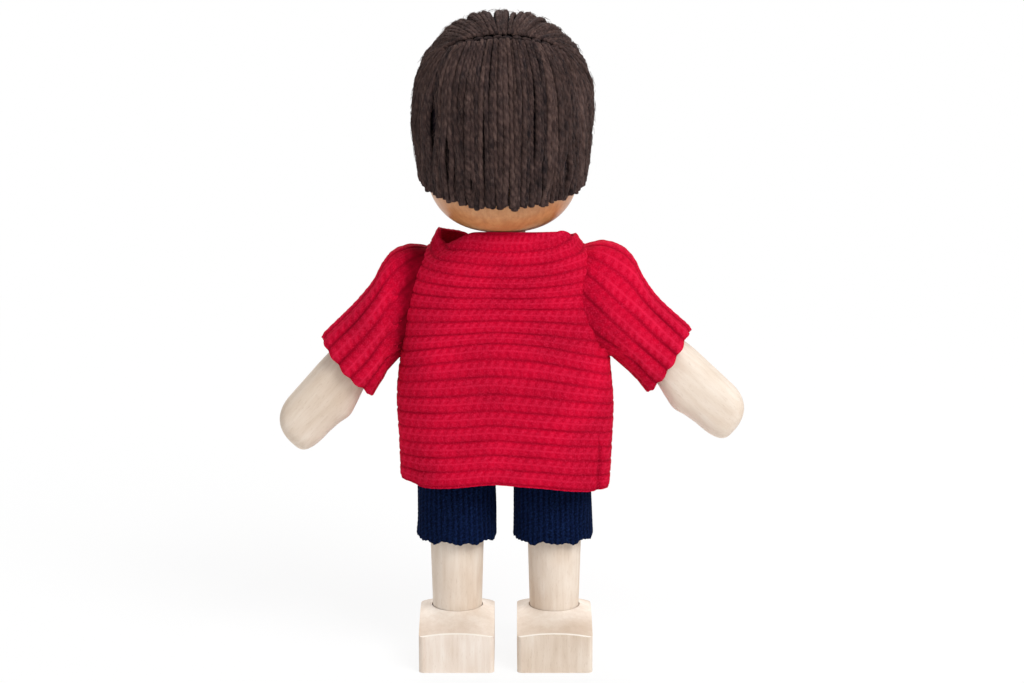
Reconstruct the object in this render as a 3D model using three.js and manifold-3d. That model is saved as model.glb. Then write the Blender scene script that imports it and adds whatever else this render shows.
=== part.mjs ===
// Miniature jointed doll: a pegged wooden figure with a yarn wig, a knitted sweater and knitted shorts.
// Millimetres, +Z up, the floor at z = 0, the doll facing -Y with its left side at +X.
import * as THREE from 'three';
import { mergeVertices } from 'three/addons/utils/BufferGeometryUtils.js';
import Module from 'manifold-3d';

const wasm = await Module();
wasm.setup();

// Clearances
const GAP = 0.3; // between pieces that are glued together or turn on each other
const CLOTH_GAP = 0.35; // between a garment and what it covers

// Feet: blocks with a turned, sloping top and a round socket for the leg
const FOOT_WIDTH = 11.5;
const HEEL_REACH = 9.2; // from the leg's axis
const TOE_REACH = 10.0; // from the leg's axis
const FOOT_RIM_HEIGHT = 8.1; // top of the foot, round the leg
const FOOT_TOP_FALL = 0.356; // fall of the turned top per millimetre away from the leg
const FOOT_SOCKET_DEPTH = 5.6;
const HEEL_CORNER = 1.4;
const TOE_CORNER = 4.8;
const FOOT_EDGE = 0.5; // rounding along the sole

// Legs: tapered dowels with a domed, forked top
const LEG_SPREAD = 7.5; // from the middle of the doll to each leg's axis
const LEG_RADIUS = 4.1;
const ANKLE_RADIUS = 3.8;
const LEG_LENGTH = 23.2; // from the foot end to the hip peg

// Pegs and tenons of the joints
const PEG_RADIUS = 0.8;
const PEG_INSET = 0.4; // how far a peg's ends lie below the surface
const HIP_TENON_THICKNESS = 2.4;
const HIP_TENON_WIDTH = 4.4;
const HIP_TENON_SEAT = 8; // length glued in the trunk

// Trunk
const TRUNK_HALF_WIDTH = 10;
const TRUNK_HALF_DEPTH = 5;
const TRUNK_HEIGHT = 32.6;
const TRUNK_EDGE = 2; // rounding of the front and back edges
const TRUNK_SHOULDER_ROUND = 3.5;

// Neck and head
const NECK_RADIUS = 3;
const NECK_SEAT = 8; // length glued in the trunk
const NECK_SHOW = 4; // from the trunk to the chin
const NECK_IN_HEAD = 9;
const HEAD_RADIUS = 11.7;
const HEAD_LOWER = 12; // height of the lower dome
const HEAD_BARREL = 7.5; // straight stretch between the domes
const CHIN_FULLNESS = 2.6; // 2 is an ellipse, more is fuller

// Wig: a cloth cap, two sheets of yarn and the sewn parting between them
const CAP_THICKNESS = 0.3;
const CAP_GAP = 0.35; // under and over the cap
const HAIR_THICKNESS = 0.95;
const YARN_GROOVE = 0.3; // depth of the grooves between strands
const PARTING_BEHIND = 0.71 * HEAD_RADIUS; // from the crown back to the parting
const PARTING_HALF_LENGTH = 8.8;
const PARTING_BOW = 2.3; // its ends lie this much further forward
const PARTING_RADIUS = 0.45; // of the row of stitches
const HAIR_SIDE_ANGLE = 98; // degrees from the back, where the two sheets meet
const HAIR_NAPE_ABOVE_CHIN = 5;
const HAIR_SIDE_ABOVE_CHIN = 8.4;
const FRINGE_ABOVE_CHIN = 20;
const CAP_SHORTER = 2.2; // the cap ends this far above the hair's edge

// Arms: flat limbs with a forked top and a mitten hand
const SHOULDER_DROP = 5.1; // from the trunk's top to the shoulder peg
const SHOULDER_SPACE = 0.4; // between the trunk's side and the arm's round end
const ARM_REST_DEG = { left: 41, right: 46.5 }; // from hanging straight down
const ARM_LOWEST_DEG = 38;
const ARM_HALF_UPPER = 2.9;
const ARM_HALF_WRIST = 3.8;
const ARM_HALF_THICKNESS = 3.2;
const ARM_EDGE = 1.1; // rounding of the arm's edges
const ELBOW_REACH = 11; // where the arm starts to widen
const WRIST_REACH = 17;
const THUMB_REACH = 21.6;
const THUMB_OUT = 4.9;
const PALM_REACH = 25.6;
const PALM_IN = 4.2;
const PALM_OUT = 3.9;
const FINGER_LENGTH = 5.2; // from the widest part of the palm to the tip
const HAND_TIP_IN = 2.0;
const HAND_CURVE = 2; // how softly the wrist runs into the thumb
const KNUCKLE_RADIUS = 2.5;
const KNUCKLE_THICKNESS = 2.4;
const KNUCKLE_STEM_RADIUS = 1.15;
const KNUCKLE_STEM_SEAT = 5; // length that swivels in the trunk

// Sweater: sizes are the room between the trunk and the outside of the knit
const KNIT = 1.2;
const SWEATER_HEM_DROP = 2.3; // below the trunk
const SWEATER_FRONT_RISE = 2.2;
const SWEATER_BACK_ARCH = 0.9;
const SWEATER_FOLD = 0.35; // depth of the soft folds at the hem
const SWEATER_FOLDS = 7;
const SWEATER_SQUARENESS = 2.6;
const ARMPIT_DROP = 9.3; // from the shoulder peg
const BELLY_DROP = 16; // from the shoulder peg
const SHOULDER_LINE_RISE = 6; // above the shoulder peg
const COLLAR_RISE = 3.2; // above the trunk
const COLLAR_BACK = 1.3; // the collar stands up behind
const COLLAR_FRONT = 0.5; // and dips in front
const HEM_ROOM = { side: 6, front: 3.8 };
const BELLY_ROOM = { side: 6.5, front: 3.6 };
const ARMPIT_ROOM = { side: 5.6, front: 3.4 };
const SHOULDER_ROOM = { side: 2.4, front: 2.2 };
const COLLAR_ROOM = { side: 0.2, front: 1.1 };

// Sleeves: room between the arm and the outside of the knit
const SLEEVE_KNIT = 0.9;
const CUFF_ROOM = { over: 2.2, under: 2.0, front: 1.8 };
const SLEEVE_TOP_ROOM = { over: 4.3, under: 1.6, front: 3.1 };
const SLEEVE_HEAD_ROUND = 1.2; // how much the sleeve rounds in over the shoulder
const CUFF_SLANT = 1; // the cuff runs further down under the arm
const CUFF_REACH = 16.8;

// Shorts
const SHORTS_KNIT = 0.8;
const SHORTS_LEG_DROP = 6.7; // from the hip peg to the hem
const SHORTS_LEG_ROOM = { side: 1.95, front: 1.25 };
const SHORTS_SCALLOP = 0.35; // waves of the raw hem
const SHORTS_SCALLOPS = 8;
const WAIST_HEIGHT = 9;

// Places that follow from the sizes above
const SOCKET_FLOOR = FOOT_RIM_HEIGHT - FOOT_SOCKET_DEPTH;
const LEG_FOOT_END = SOCKET_FLOOR + GAP;
const HIP_Z = LEG_FOOT_END + LEG_LENGTH;
const TRUNK_BOTTOM = HIP_Z + LEG_RADIUS + GAP;
const TRUNK_TOP = TRUNK_BOTTOM + TRUNK_HEIGHT;
const CHIN_Z = TRUNK_TOP + NECK_SHOW;
const HEAD_LOW_Z = CHIN_Z + HEAD_LOWER;
const HEAD_HIGH_Z = HEAD_LOW_Z + HEAD_BARREL;
const NECK_TOP = CHIN_Z + NECK_IN_HEAD;
const SHOULDER_X = TRUNK_HALF_WIDTH + SHOULDER_SPACE + ARM_HALF_UPPER;
const SHOULDER_Z = TRUNK_TOP - SHOULDER_DROP;
const CAP_INSIDE = CAP_GAP;
const CAP_OUTSIDE = CAP_INSIDE + CAP_THICKNESS;
const HAND_REACH = PALM_REACH + FINGER_LENGTH;
const HAIR_INSIDE = CAP_OUTSIDE + CAP_GAP;
const HAIR_OUTSIDE = HAIR_INSIDE + HAIR_THICKNESS;
const SEGMENTS = 24; // round a turned piece
const HEAD_SEGMENTS = 30;
const CLOTH_SEGMENTS = 32; // round a garment
const SWEATER_LEVELS = 12; // up the sweater

// Materials
function finish(color, roughness) {
  return new THREE.MeshStandardMaterial({ color, roughness, metalness: 0 });
}
const PALE_WOOD = () => finish('#e2d2c1', 0.6);
const HEAD_WOOD = () => finish('#b2754b', 0.4);
const RED_KNIT = () => finish('#c61131', 0.95);
const NAVY_KNIT = () => finish('#0b1533', 0.95);
const BROWN_YARN = () => finish('#43342f', 0.95);
const DARK_CLOTH = () => finish('#1c161c', 1);

// Solids
function indexed(positions, triangles) {
  const geometry = new THREE.BufferGeometry();
  geometry.setAttribute('position', new THREE.Float32BufferAttribute(positions, 3));
  geometry.setIndex(triangles);
  return outward(geometry);
}

function outward(geometry) {
  const p = geometry.attributes.position;
  const index = geometry.index.array;
  const corner = [0, 1, 2].map(() => new THREE.Vector3());
  let volume = 0;
  for (let i = 0; i < index.length; i += 3) {
    corner.forEach((v, k) => v.fromBufferAttribute(p, index[i + k]));
    volume += corner[0].dot(corner[1].clone().cross(corner[2]));
  }
  if (volume < 0) {
    for (let i = 0; i < index.length; i += 3) {
      [index[i], index[i + 1]] = [index[i + 1], index[i]];
    }
  }
  return geometry;
}

function welded(geometry) {
  const bare = geometry.clone();
  for (const name of Object.keys(bare.attributes)) {
    if (name !== 'position') bare.deleteAttribute(name);
  }
  const merged = mergeVertices(bare, 1e-4);
  const triangles = [];
  for (let i = 0; i < merged.index.count; i += 3) {
    const [a, b, c] = [0, 1, 2].map((k) => merged.index.getX(i + k));
    if (a !== b && b !== c && c !== a) triangles.push(a, b, c);
  }
  merged.setIndex(triangles);
  return outward(merged);
}

function solid(geometry) {
  const clean = welded(geometry);
  return new wasm.Manifold(new wasm.Mesh({
    numProp: 3,
    vertProperties: new Float32Array(clean.attributes.position.array),
    triVerts: new Uint32Array(clean.index.array),
  }));
}

function shape(manifold) {
  const mesh = manifold.getMesh();
  return indexed(Array.from(mesh.vertProperties), Array.from(mesh.triVerts));
}

function cut(geometry, ...tools) {
  return shape(tools.reduce((body, tool) => body.subtract(solid(tool)), solid(geometry)));
}

function join(...pieces) {
  return shape(pieces.map(solid).reduce((a, b) => a.add(b)));
}

function common(a, b) {
  return shape(solid(a).intersect(solid(b)));
}

// A turned piece about Z from a profile of [radius, height] points
function turned(profile, segments = SEGMENTS) {
  const points = profile.map(([r, z]) => new THREE.Vector2(r, z));
  return new THREE.LatheGeometry(points, segments).rotateX(Math.PI / 2);
}

function rod(radius, length, axis) {
  const geometry = new THREE.CylinderGeometry(radius, radius, length, 16);
  if (axis === 'x') geometry.rotateZ(Math.PI / 2);
  if (axis === 'z') geometry.rotateX(Math.PI / 2);
  return geometry;
}

// Rings of equal count skinned in order: a loop of rings closes on itself, a row of rings gets end caps
function skinned(rings, loop) {
  const count = rings[0].length;
  const positions = rings.flat().flatMap((p) => [p.x, p.y, p.z]);
  const triangles = [];
  const last = loop ? rings.length : rings.length - 1;
  for (let i = 0; i < last; i++) {
    const a = i * count;
    const b = ((i + 1) % rings.length) * count;
    for (let j = 0; j < count; j++) {
      const k = (j + 1) % count;
      triangles.push(a + j, b + j, b + k, a + j, b + k, a + k);
    }
  }
  if (!loop) {
    for (const [ring, flip] of [[0, false], [rings.length - 1, true]]) {
      const centre = new THREE.Vector3();
      rings[ring].forEach((p) => centre.addScaledVector(p, 1 / count));
      const c = positions.length / 3;
      positions.push(centre.x, centre.y, centre.z);
      for (let j = 0; j < count; j++) {
        const [p, q] = [ring * count + j, ring * count + (j + 1) % count];
        triangles.push(...(flip ? [c, q, p] : [c, p, q]));
      }
    }
  }
  return indexed(positions, triangles);
}

// A curved sheet of even thickness: place(column, row, side) gives its outer (1) and inner (0) points
function sheet(columns, rows, place) {
  const positions = [];
  const triangles = [];
  const at = (i, j, side) => (side * rows + j) * columns + i;
  for (let side = 0; side < 2; side++) {
    for (let j = 0; j < rows; j++) {
      for (let i = 0; i < columns; i++) {
        positions.push(...place(i, j, side).toArray());
      }
    }
  }
  const quad = (a, b, c, d) => triangles.push(a, b, c, a, c, d);
  for (let j = 0; j + 1 < rows; j++) {
    for (let i = 0; i + 1 < columns; i++) {
      quad(at(i, j, 1), at(i + 1, j, 1), at(i + 1, j + 1, 1), at(i, j + 1, 1));
      quad(at(i, j, 0), at(i, j + 1, 0), at(i + 1, j + 1, 0), at(i + 1, j, 0));
    }
    quad(at(0, j, 0), at(0, j, 1), at(0, j + 1, 1), at(0, j + 1, 0));
    const e = columns - 1;
    quad(at(e, j, 1), at(e, j, 0), at(e, j + 1, 0), at(e, j + 1, 1));
  }
  for (let i = 0; i + 1 < columns; i++) {
    const e = rows - 1;
    quad(at(i, 0, 0), at(i + 1, 0, 0), at(i + 1, 0, 1), at(i, 0, 1));
    quad(at(i, e, 1), at(i + 1, e, 1), at(i + 1, e, 0), at(i, e, 0));
  }
  return indexed(positions, triangles);
}

function power(value, exponent) {
  return Math.sign(value) * Math.abs(value) ** exponent;
}

function lerp(a, b, t) {
  return a + (b - a) * t;
}

function mesh(name, geometry, material) {
  const piece = new THREE.Mesh(welded(geometry), material);
  piece.name = name;
  return piece;
}

// Feet and legs
function footGeometry() {
  const [w, h, t] = [FOOT_WIDTH / 2, HEEL_REACH, TOE_REACH];
  const plan = new THREE.Shape();
  plan.moveTo(-w + HEEL_CORNER, h);
  plan.lineTo(w - HEEL_CORNER, h);
  plan.quadraticCurveTo(w, h, w, h - HEEL_CORNER);
  plan.lineTo(w, -t + TOE_CORNER);
  plan.bezierCurveTo(w, -t + TOE_CORNER / 3, w - TOE_CORNER / 2, -t, 0, -t);
  plan.bezierCurveTo(-w + TOE_CORNER / 2, -t, -w, -t + TOE_CORNER / 3, -w, -t + TOE_CORNER);
  plan.lineTo(-w, h - HEEL_CORNER);
  plan.quadraticCurveTo(-w, h, -w + HEEL_CORNER, h);
  const block = new THREE.ExtrudeGeometry(plan, {
    depth: FOOT_RIM_HEIGHT,
    bevelThickness: FOOT_EDGE,
    bevelSize: FOOT_EDGE,
    bevelOffset: -FOOT_EDGE,
    bevelSegments: 1,
    curveSegments: 5,
  }).translate(0, 0, FOOT_EDGE);
  const socket = ANKLE_RADIUS + GAP;
  const far = FOOT_WIDTH + HEEL_REACH + TOE_REACH;
  const slope = turned([
    [0, -FOOT_EDGE],
    [far, -FOOT_EDGE],
    [far, FOOT_RIM_HEIGHT - FOOT_TOP_FALL * (far - socket)],
    [socket, FOOT_RIM_HEIGHT],
    [0, FOOT_RIM_HEIGHT],
  ].filter(([r, z], i) => i !== 2 || z > 0), 48);
  const hole = rod(socket, FOOT_SOCKET_DEPTH * 2, 'z').translate(0, 0, SOCKET_FLOOR + FOOT_SOCKET_DEPTH);
  return cut(common(block, slope), hole);
}

function legGeometry() {
  const profile = [[0, LEG_FOOT_END], [ANKLE_RADIUS, LEG_FOOT_END], [ANKLE_RADIUS, FOOT_RIM_HEIGHT]];
  const steps = 7;
  for (let i = 0; i <= steps; i++) {
    const angle = (i / steps) * Math.PI / 2;
    profile.push([i === steps ? 0 : LEG_RADIUS * Math.cos(angle), HIP_Z + LEG_RADIUS * Math.sin(angle)]);
  }
  const slotFloor = HIP_Z - HIP_TENON_WIDTH / 2 - GAP;
  const slotHeight = HIP_Z + LEG_RADIUS * 2 - slotFloor;
  const slot = new THREE.BoxGeometry(HIP_TENON_THICKNESS + 2 * GAP, LEG_RADIUS * 4, slotHeight)
    .translate(0, 0, slotFloor + slotHeight / 2);
  const hole = rod(PEG_RADIUS + GAP, LEG_RADIUS * 4, 'x').translate(0, 0, HIP_Z);
  return cut(turned(profile), slot, hole);
}

// A tenon with a round end about the hip peg
function hipTenonGeometry() {
  const half = HIP_TENON_WIDTH / 2;
  const top = LEG_RADIUS + GAP + HIP_TENON_SEAT;
  const side = new THREE.Shape();
  side.moveTo(-half, top);
  side.lineTo(-half, 0);
  side.absarc(0, 0, half, Math.PI, 2 * Math.PI, false);
  side.lineTo(half, top);
  side.closePath();
  const eye = new THREE.Path();
  eye.absarc(0, 0, PEG_RADIUS + GAP, 0, 2 * Math.PI, true);
  side.holes.push(eye);
  return new THREE.ExtrudeGeometry(side, { depth: HIP_TENON_THICKNESS, bevelEnabled: false, curveSegments: 8 })
    .translate(0, 0, -HIP_TENON_THICKNESS / 2)
    .rotateX(Math.PI / 2)
    .rotateZ(Math.PI / 2)
    .translate(0, 0, HIP_Z);
}

function shortsLegGeometry() {
  const rings = [];
  const top = TRUNK_BOTTOM - GAP;
  const hem = HIP_Z - SHORTS_LEG_DROP;
  const ring = (z, inset, wavy) => {
    const points = [];
    for (let j = 0; j < CLOTH_SEGMENTS; j++) {
      const a = (j / CLOTH_SEGMENTS) * 2 * Math.PI;
      const wave = wavy * SHORTS_SCALLOP * Math.cos(SHORTS_SCALLOPS * a);
      const w = LEG_RADIUS + SHORTS_LEG_ROOM.side - inset;
      const d = LEG_RADIUS + SHORTS_LEG_ROOM.front - inset;
      points.push(new THREE.Vector3(w * Math.cos(a), d * Math.sin(a), z + wave));
    }
    return points;
  };
  const levels = 4;
  for (let i = 0; i <= levels; i++) rings.push(ring(lerp(hem, top, i / levels), 0, i === 0 ? 1 : 0));
  for (let i = levels; i >= 0; i -= 2) rings.push(ring(lerp(hem, top, i / levels), SHORTS_KNIT, i === 0 ? 1 : 0));
  return skinned(rings, true);
}

function leg(side, word) {
  const group = new THREE.Group();
  group.position.x = side * LEG_SPREAD;
  const peg = rod(PEG_RADIUS, 2 * (LEG_RADIUS - PEG_INSET), 'x').translate(0, 0, HIP_Z);
  group.add(
    mesh(`${word}_leg`, legGeometry(), PALE_WOOD()),
    mesh(`${word}_hip_peg`, peg, PALE_WOOD()),
    mesh(`${word}_foot`, footGeometry(), PALE_WOOD()),
    mesh(`${word}_shorts_leg`, shortsLegGeometry(), NAVY_KNIT()),
  );
  return group;
}

// Trunk, neck and seat of the shorts
function trunkGeometry() {
  const [w, top, bottom, r] = [TRUNK_HALF_WIDTH, TRUNK_TOP, TRUNK_BOTTOM, TRUNK_SHOULDER_ROUND];
  const front = new THREE.Shape();
  front.moveTo(-w, bottom);
  front.lineTo(w, bottom);
  front.lineTo(w, top - r);
  front.absarc(w - r, top - r, r, 0, Math.PI / 2, false);
  front.absarc(-w + r, top - r, r, Math.PI / 2, Math.PI, false);
  front.closePath();
  const block = new THREE.ExtrudeGeometry(front, {
    depth: 2 * (TRUNK_HALF_DEPTH - TRUNK_EDGE),
    bevelThickness: TRUNK_EDGE,
    bevelSize: TRUNK_EDGE,
    bevelOffset: -TRUNK_EDGE,
    bevelSegments: 3,
    curveSegments: 3,
  }).translate(0, 0, -(TRUNK_HALF_DEPTH - TRUNK_EDGE)).rotateX(Math.PI / 2);
  const tools = [
    rod(NECK_RADIUS + GAP, 2 * (NECK_SEAT + GAP), 'z').translate(0, 0, TRUNK_TOP),
  ];
  for (const side of [1, -1]) {
    const bore = rod(KNUCKLE_STEM_RADIUS + GAP, 2 * (KNUCKLE_STEM_SEAT + GAP), 'x');
    tools.push(bore.translate(side * TRUNK_HALF_WIDTH, 0, SHOULDER_Z));
    const mortise = new THREE.BoxGeometry(
      HIP_TENON_THICKNESS + 2 * GAP,
      HIP_TENON_WIDTH + 2 * GAP,
      2 * (HIP_TENON_SEAT + GAP),
    );
    tools.push(mortise.translate(side * LEG_SPREAD, 0, TRUNK_BOTTOM));
  }
  return cut(block, ...tools);
}

function waistGeometry() {
  const [w, d] = [TRUNK_HALF_WIDTH - TRUNK_EDGE, TRUNK_HALF_DEPTH - TRUNK_EDGE];
  const ring = (z, out) => Array.from({ length: CLOTH_SEGMENTS }, (_, j) => {
    const a = ((j + 0.5) / CLOTH_SEGMENTS) * 2 * Math.PI;
    const [c, s] = [Math.cos(a), Math.sin(a)];
    const r = TRUNK_EDGE + out;
    return new THREE.Vector3(Math.sign(c) * w + r * c, Math.sign(s) * d + r * s, z);
  });
  const bottom = TRUNK_BOTTOM + GAP;
  const top = bottom + WAIST_HEIGHT;
  const inside = CLOTH_GAP;
  const outside = CLOTH_GAP + SHORTS_KNIT;
  return skinned([ring(bottom, outside), ring(top, outside), ring(top, inside), ring(bottom, inside)], true);
}

// Sweater trunk: stations up the body, each with its height and room round the trunk
const SWEATER_STATIONS = [
  { z: TRUNK_BOTTOM - SWEATER_HEM_DROP, room: HEM_ROOM },
  { z: SHOULDER_Z - BELLY_DROP, room: BELLY_ROOM },
  { z: SHOULDER_Z - ARMPIT_DROP, room: ARMPIT_ROOM },
  { z: SHOULDER_Z + SHOULDER_LINE_RISE, room: SHOULDER_ROOM },
  { z: TRUNK_TOP + COLLAR_RISE, room: COLLAR_ROOM },
];
const SWEATER_PROFILE = new THREE.CatmullRomCurve3(SWEATER_STATIONS.map(({ z, room }) => (
  new THREE.Vector3(TRUNK_HALF_WIDTH + room.side, TRUNK_HALF_DEPTH + room.front, z)
)), false, 'chordal');

function sweaterRing(t, inset) {
  const station = SWEATER_PROFILE.getPoint(t);
  const low = (1 - t) ** 2;
  const points = [];
  for (let j = 0; j < CLOTH_SEGMENTS; j++) {
    const a = (j / CLOTH_SEGMENTS) * 2 * Math.PI;
    const [c, s] = [Math.cos(a), Math.sin(a)];
    const fold = SWEATER_FOLD * low * Math.sin(SWEATER_FOLDS * a);
    const [back, front] = [Math.max(s, 0), Math.max(-s, 0)];
    const hem = low * low * (SWEATER_FRONT_RISE * front + SWEATER_BACK_ARCH * back ** 6);
    const collar = t ** 8 * (COLLAR_BACK * back - COLLAR_FRONT * front);
    points.push(new THREE.Vector3(
      (station.x + fold - inset) * power(c, 2 / SWEATER_SQUARENESS),
      (station.y + fold - inset) * power(s, 2 / SWEATER_SQUARENESS),
      station.z + hem + collar,
    ));
  }
  return points;
}

function sweaterRings(levels, inset) {
  return Array.from({ length: levels + 1 }, (_, i) => sweaterRing(i / levels, inset));
}

// Room that the arm needs as it swings round the shoulder: turned about the X axis through the peg
function armholeGeometry(side) {
  const lowest = THREE.MathUtils.degToRad(ARM_LOWEST_DEG);
  const inner = (depth) => SHOULDER_X + depth * Math.tan(lowest) - (ARM_HALF_UPPER + GAP) / Math.cos(lowest);
  const reach = ARMPIT_DROP + ARMPIT_ROOM.side;
  const start = TRUNK_HALF_WIDTH + SHOULDER_SPACE;
  const profile = [[0, start], [ARM_HALF_THICKNESS + GAP, start]];
  const steps = 6;
  for (let i = 1; i <= steps; i++) {
    const depth = lerp(ARM_HALF_UPPER, reach, i / steps);
    profile.push([Math.hypot(depth, ARM_HALF_THICKNESS + GAP), Math.max(inner(depth), start)]);
  }
  const far = profile[profile.length - 1][1] + reach;
  profile.push([profile[profile.length - 1][0], far], [0, far]);
  return turned(profile).rotateY(side * Math.PI / 2).translate(0, 0, SHOULDER_Z);
}

function sweaterGeometry() {
  const shell = skinned([...sweaterRings(SWEATER_LEVELS, 0), ...sweaterRings(SWEATER_LEVELS / 2, KNIT).reverse()], true);
  return cut(shell, armholeGeometry(1), armholeGeometry(-1));
}

function sweaterEnvelope() {
  return skinned(sweaterRings(SWEATER_LEVELS, -CLOTH_GAP), false);
}

function trunk() {
  const group = new THREE.Group();
  const neckLength = NECK_SEAT + NECK_SHOW + NECK_IN_HEAD;
  const neck = rod(NECK_RADIUS, neckLength, 'z').translate(0, 0, NECK_TOP - neckLength / 2);
  group.add(
    mesh('torso', trunkGeometry(), PALE_WOOD()),
    mesh('neck_dowel', neck, PALE_WOOD()),
    mesh('shorts_waist', waistGeometry(), NAVY_KNIT()),
    mesh('sweater_body', sweaterGeometry(), RED_KNIT()),
  );
  for (const [side, word] of [[1, 'left'], [-1, 'right']]) {
    const tenon = mesh(`${word}_hip_tenon`, hipTenonGeometry(), PALE_WOOD());
    tenon.position.x = side * LEG_SPREAD;
    group.add(tenon);
  }
  return group;
}

// Shoulders and arms, modelled hanging down from the peg, outwards at +X on the left
function knuckleGeometry(side) {
  const disc = rod(KNUCKLE_RADIUS, KNUCKLE_THICKNESS, 'y');
  const length = SHOULDER_X - TRUNK_HALF_WIDTH + KNUCKLE_STEM_SEAT;
  const stem = rod(KNUCKLE_STEM_RADIUS, length, 'x').translate(-side * length / 2, 0, 0);
  const hole = rod(PEG_RADIUS + GAP, KNUCKLE_THICKNESS * 2, 'y');
  return cut(join(disc, stem), hole);
}

function armGeometry(side) {
  const outline = new THREE.Shape();
  outline.moveTo(ARM_HALF_UPPER, 0);
  outline.absarc(0, 0, ARM_HALF_UPPER, 0, Math.PI, false);
  outline.lineTo(-ARM_HALF_UPPER, -ELBOW_REACH);
  outline.quadraticCurveTo(-ARM_HALF_WRIST, -WRIST_REACH + HAND_CURVE, -ARM_HALF_WRIST, -WRIST_REACH);
  outline.bezierCurveTo(
    -ARM_HALF_WRIST, -WRIST_REACH - HAND_CURVE,
    -THUMB_OUT, -THUMB_REACH + HAND_CURVE,
    -THUMB_OUT, -THUMB_REACH,
  );
  outline.quadraticCurveTo(-PALM_IN, -THUMB_REACH - HAND_CURVE / 2, -PALM_IN, -PALM_REACH);
  outline.quadraticCurveTo(-PALM_IN, -HAND_REACH, -HAND_TIP_IN, -HAND_REACH);
  outline.quadraticCurveTo(PALM_OUT, -HAND_REACH, PALM_OUT, -PALM_REACH);
  outline.lineTo(ARM_HALF_WRIST, -WRIST_REACH);
  outline.lineTo(ARM_HALF_UPPER, -ELBOW_REACH);
  outline.closePath();
  const limb = new THREE.ExtrudeGeometry(outline, {
    depth: 2 * (ARM_HALF_THICKNESS - ARM_EDGE),
    bevelThickness: ARM_EDGE,
    bevelSize: ARM_EDGE,
    bevelOffset: -ARM_EDGE,
    bevelSegments: 2,
    curveSegments: 4,
  }).translate(0, 0, -(ARM_HALF_THICKNESS - ARM_EDGE)).rotateX(Math.PI / 2);
  const slotEnd = KNUCKLE_RADIUS + GAP;
  const slot = new THREE.BoxGeometry(
    ARM_HALF_UPPER * 4,
    KNUCKLE_THICKNESS + 2 * GAP,
    slotEnd + ARM_HALF_UPPER * 2,
  ).translate(0, 0, ARM_HALF_UPPER - slotEnd / 2);
  const hole = rod(PEG_RADIUS + GAP, ARM_HALF_THICKNESS * 4, 'y');
  const arm = cut(limb, slot, hole);
  return side > 0 ? arm : welded(arm.scale(-1, 1, 1));
}

// A knitted tube round the arm, trimmed where it meets the trunk of the sweater
function sleeveGeometry(side, toArm) {
  const over = new THREE.SplineCurve([
    new THREE.Vector2(0, ARM_HALF_UPPER + SLEEVE_TOP_ROOM.over),
    new THREE.Vector2(ARM_HALF_UPPER + SLEEVE_TOP_ROOM.over - SLEEVE_HEAD_ROUND, SLEEVE_TOP_ROOM.over),
    new THREE.Vector2(ARM_HALF_UPPER + SLEEVE_TOP_ROOM.over, -SLEEVE_TOP_ROOM.over / 2),
    new THREE.Vector2(ARM_HALF_WRIST + CUFF_ROOM.over, -CUFF_REACH + CUFF_SLANT),
  ]);
  const under = new THREE.SplineCurve([
    new THREE.Vector2(-ARM_HALF_UPPER - SLEEVE_TOP_ROOM.under, 0),
    new THREE.Vector2(-ARM_HALF_UPPER - SLEEVE_TOP_ROOM.under, -ARMPIT_DROP),
    new THREE.Vector2(-ARM_HALF_WRIST - CUFF_ROOM.under, -CUFF_REACH - CUFF_SLANT),
  ]);
  const ring = (t, inset) => {
    const [a, b] = [over.getPoint(t), under.getPoint(t)];
    const centre = a.clone().add(b).multiplyScalar(0.5);
    const reach = a.clone().sub(b).multiplyScalar(0.5);
    reach.setLength(reach.length() - inset);
    const depth = ARM_HALF_THICKNESS + lerp(SLEEVE_TOP_ROOM.front, CUFF_ROOM.front, t) - inset;
    return Array.from({ length: CLOTH_SEGMENTS }, (_, j) => {
      const angle = (j / CLOTH_SEGMENTS) * 2 * Math.PI;
      const c = power(Math.cos(angle), 2 / SWEATER_SQUARENESS);
      const s = power(Math.sin(angle), 2 / SWEATER_SQUARENESS);
      return new THREE.Vector3(side * (centre.x + reach.x * c), depth * s, centre.y + reach.y * c);
    });
  };
  const rings = [];
  const levels = 6;
  for (let i = 0; i <= levels; i++) rings.push(ring(i / levels, 0));
  for (let i = levels; i >= 0; i -= 2) rings.push(ring(i / levels, SLEEVE_KNIT));
  return cut(skinned(rings, true), sweaterEnvelope().applyMatrix4(toArm));
}

function shoulder(side, word) {
  const group = new THREE.Group();
  group.position.set(side * SHOULDER_X, 0, SHOULDER_Z);
  const arm = new THREE.Group();
  arm.rotation.y = -side * THREE.MathUtils.degToRad(ARM_REST_DEG[word]);
  group.add(arm);
  group.updateMatrixWorld(true);
  const toArm = arm.matrixWorld.clone().invert();
  const peg = rod(PEG_RADIUS, 2 * (ARM_HALF_THICKNESS - PEG_INSET), 'y');
  group.add(mesh(`${word}_shoulder_knuckle`, knuckleGeometry(side), PALE_WOOD()));
  arm.add(
    mesh(`${word}_arm`, armGeometry(side), PALE_WOOD()),
    mesh(`${word}_shoulder_peg`, peg, PALE_WOOD()),
    mesh(`${word}_sleeve`, sleeveGeometry(side, toArm), RED_KNIT()),
  );
  return group;
}

// Head and wig
function chinCurve(fall) {
  return Math.max(1 - fall ** CHIN_FULLNESS, 0) ** (1 / CHIN_FULLNESS);
}

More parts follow.
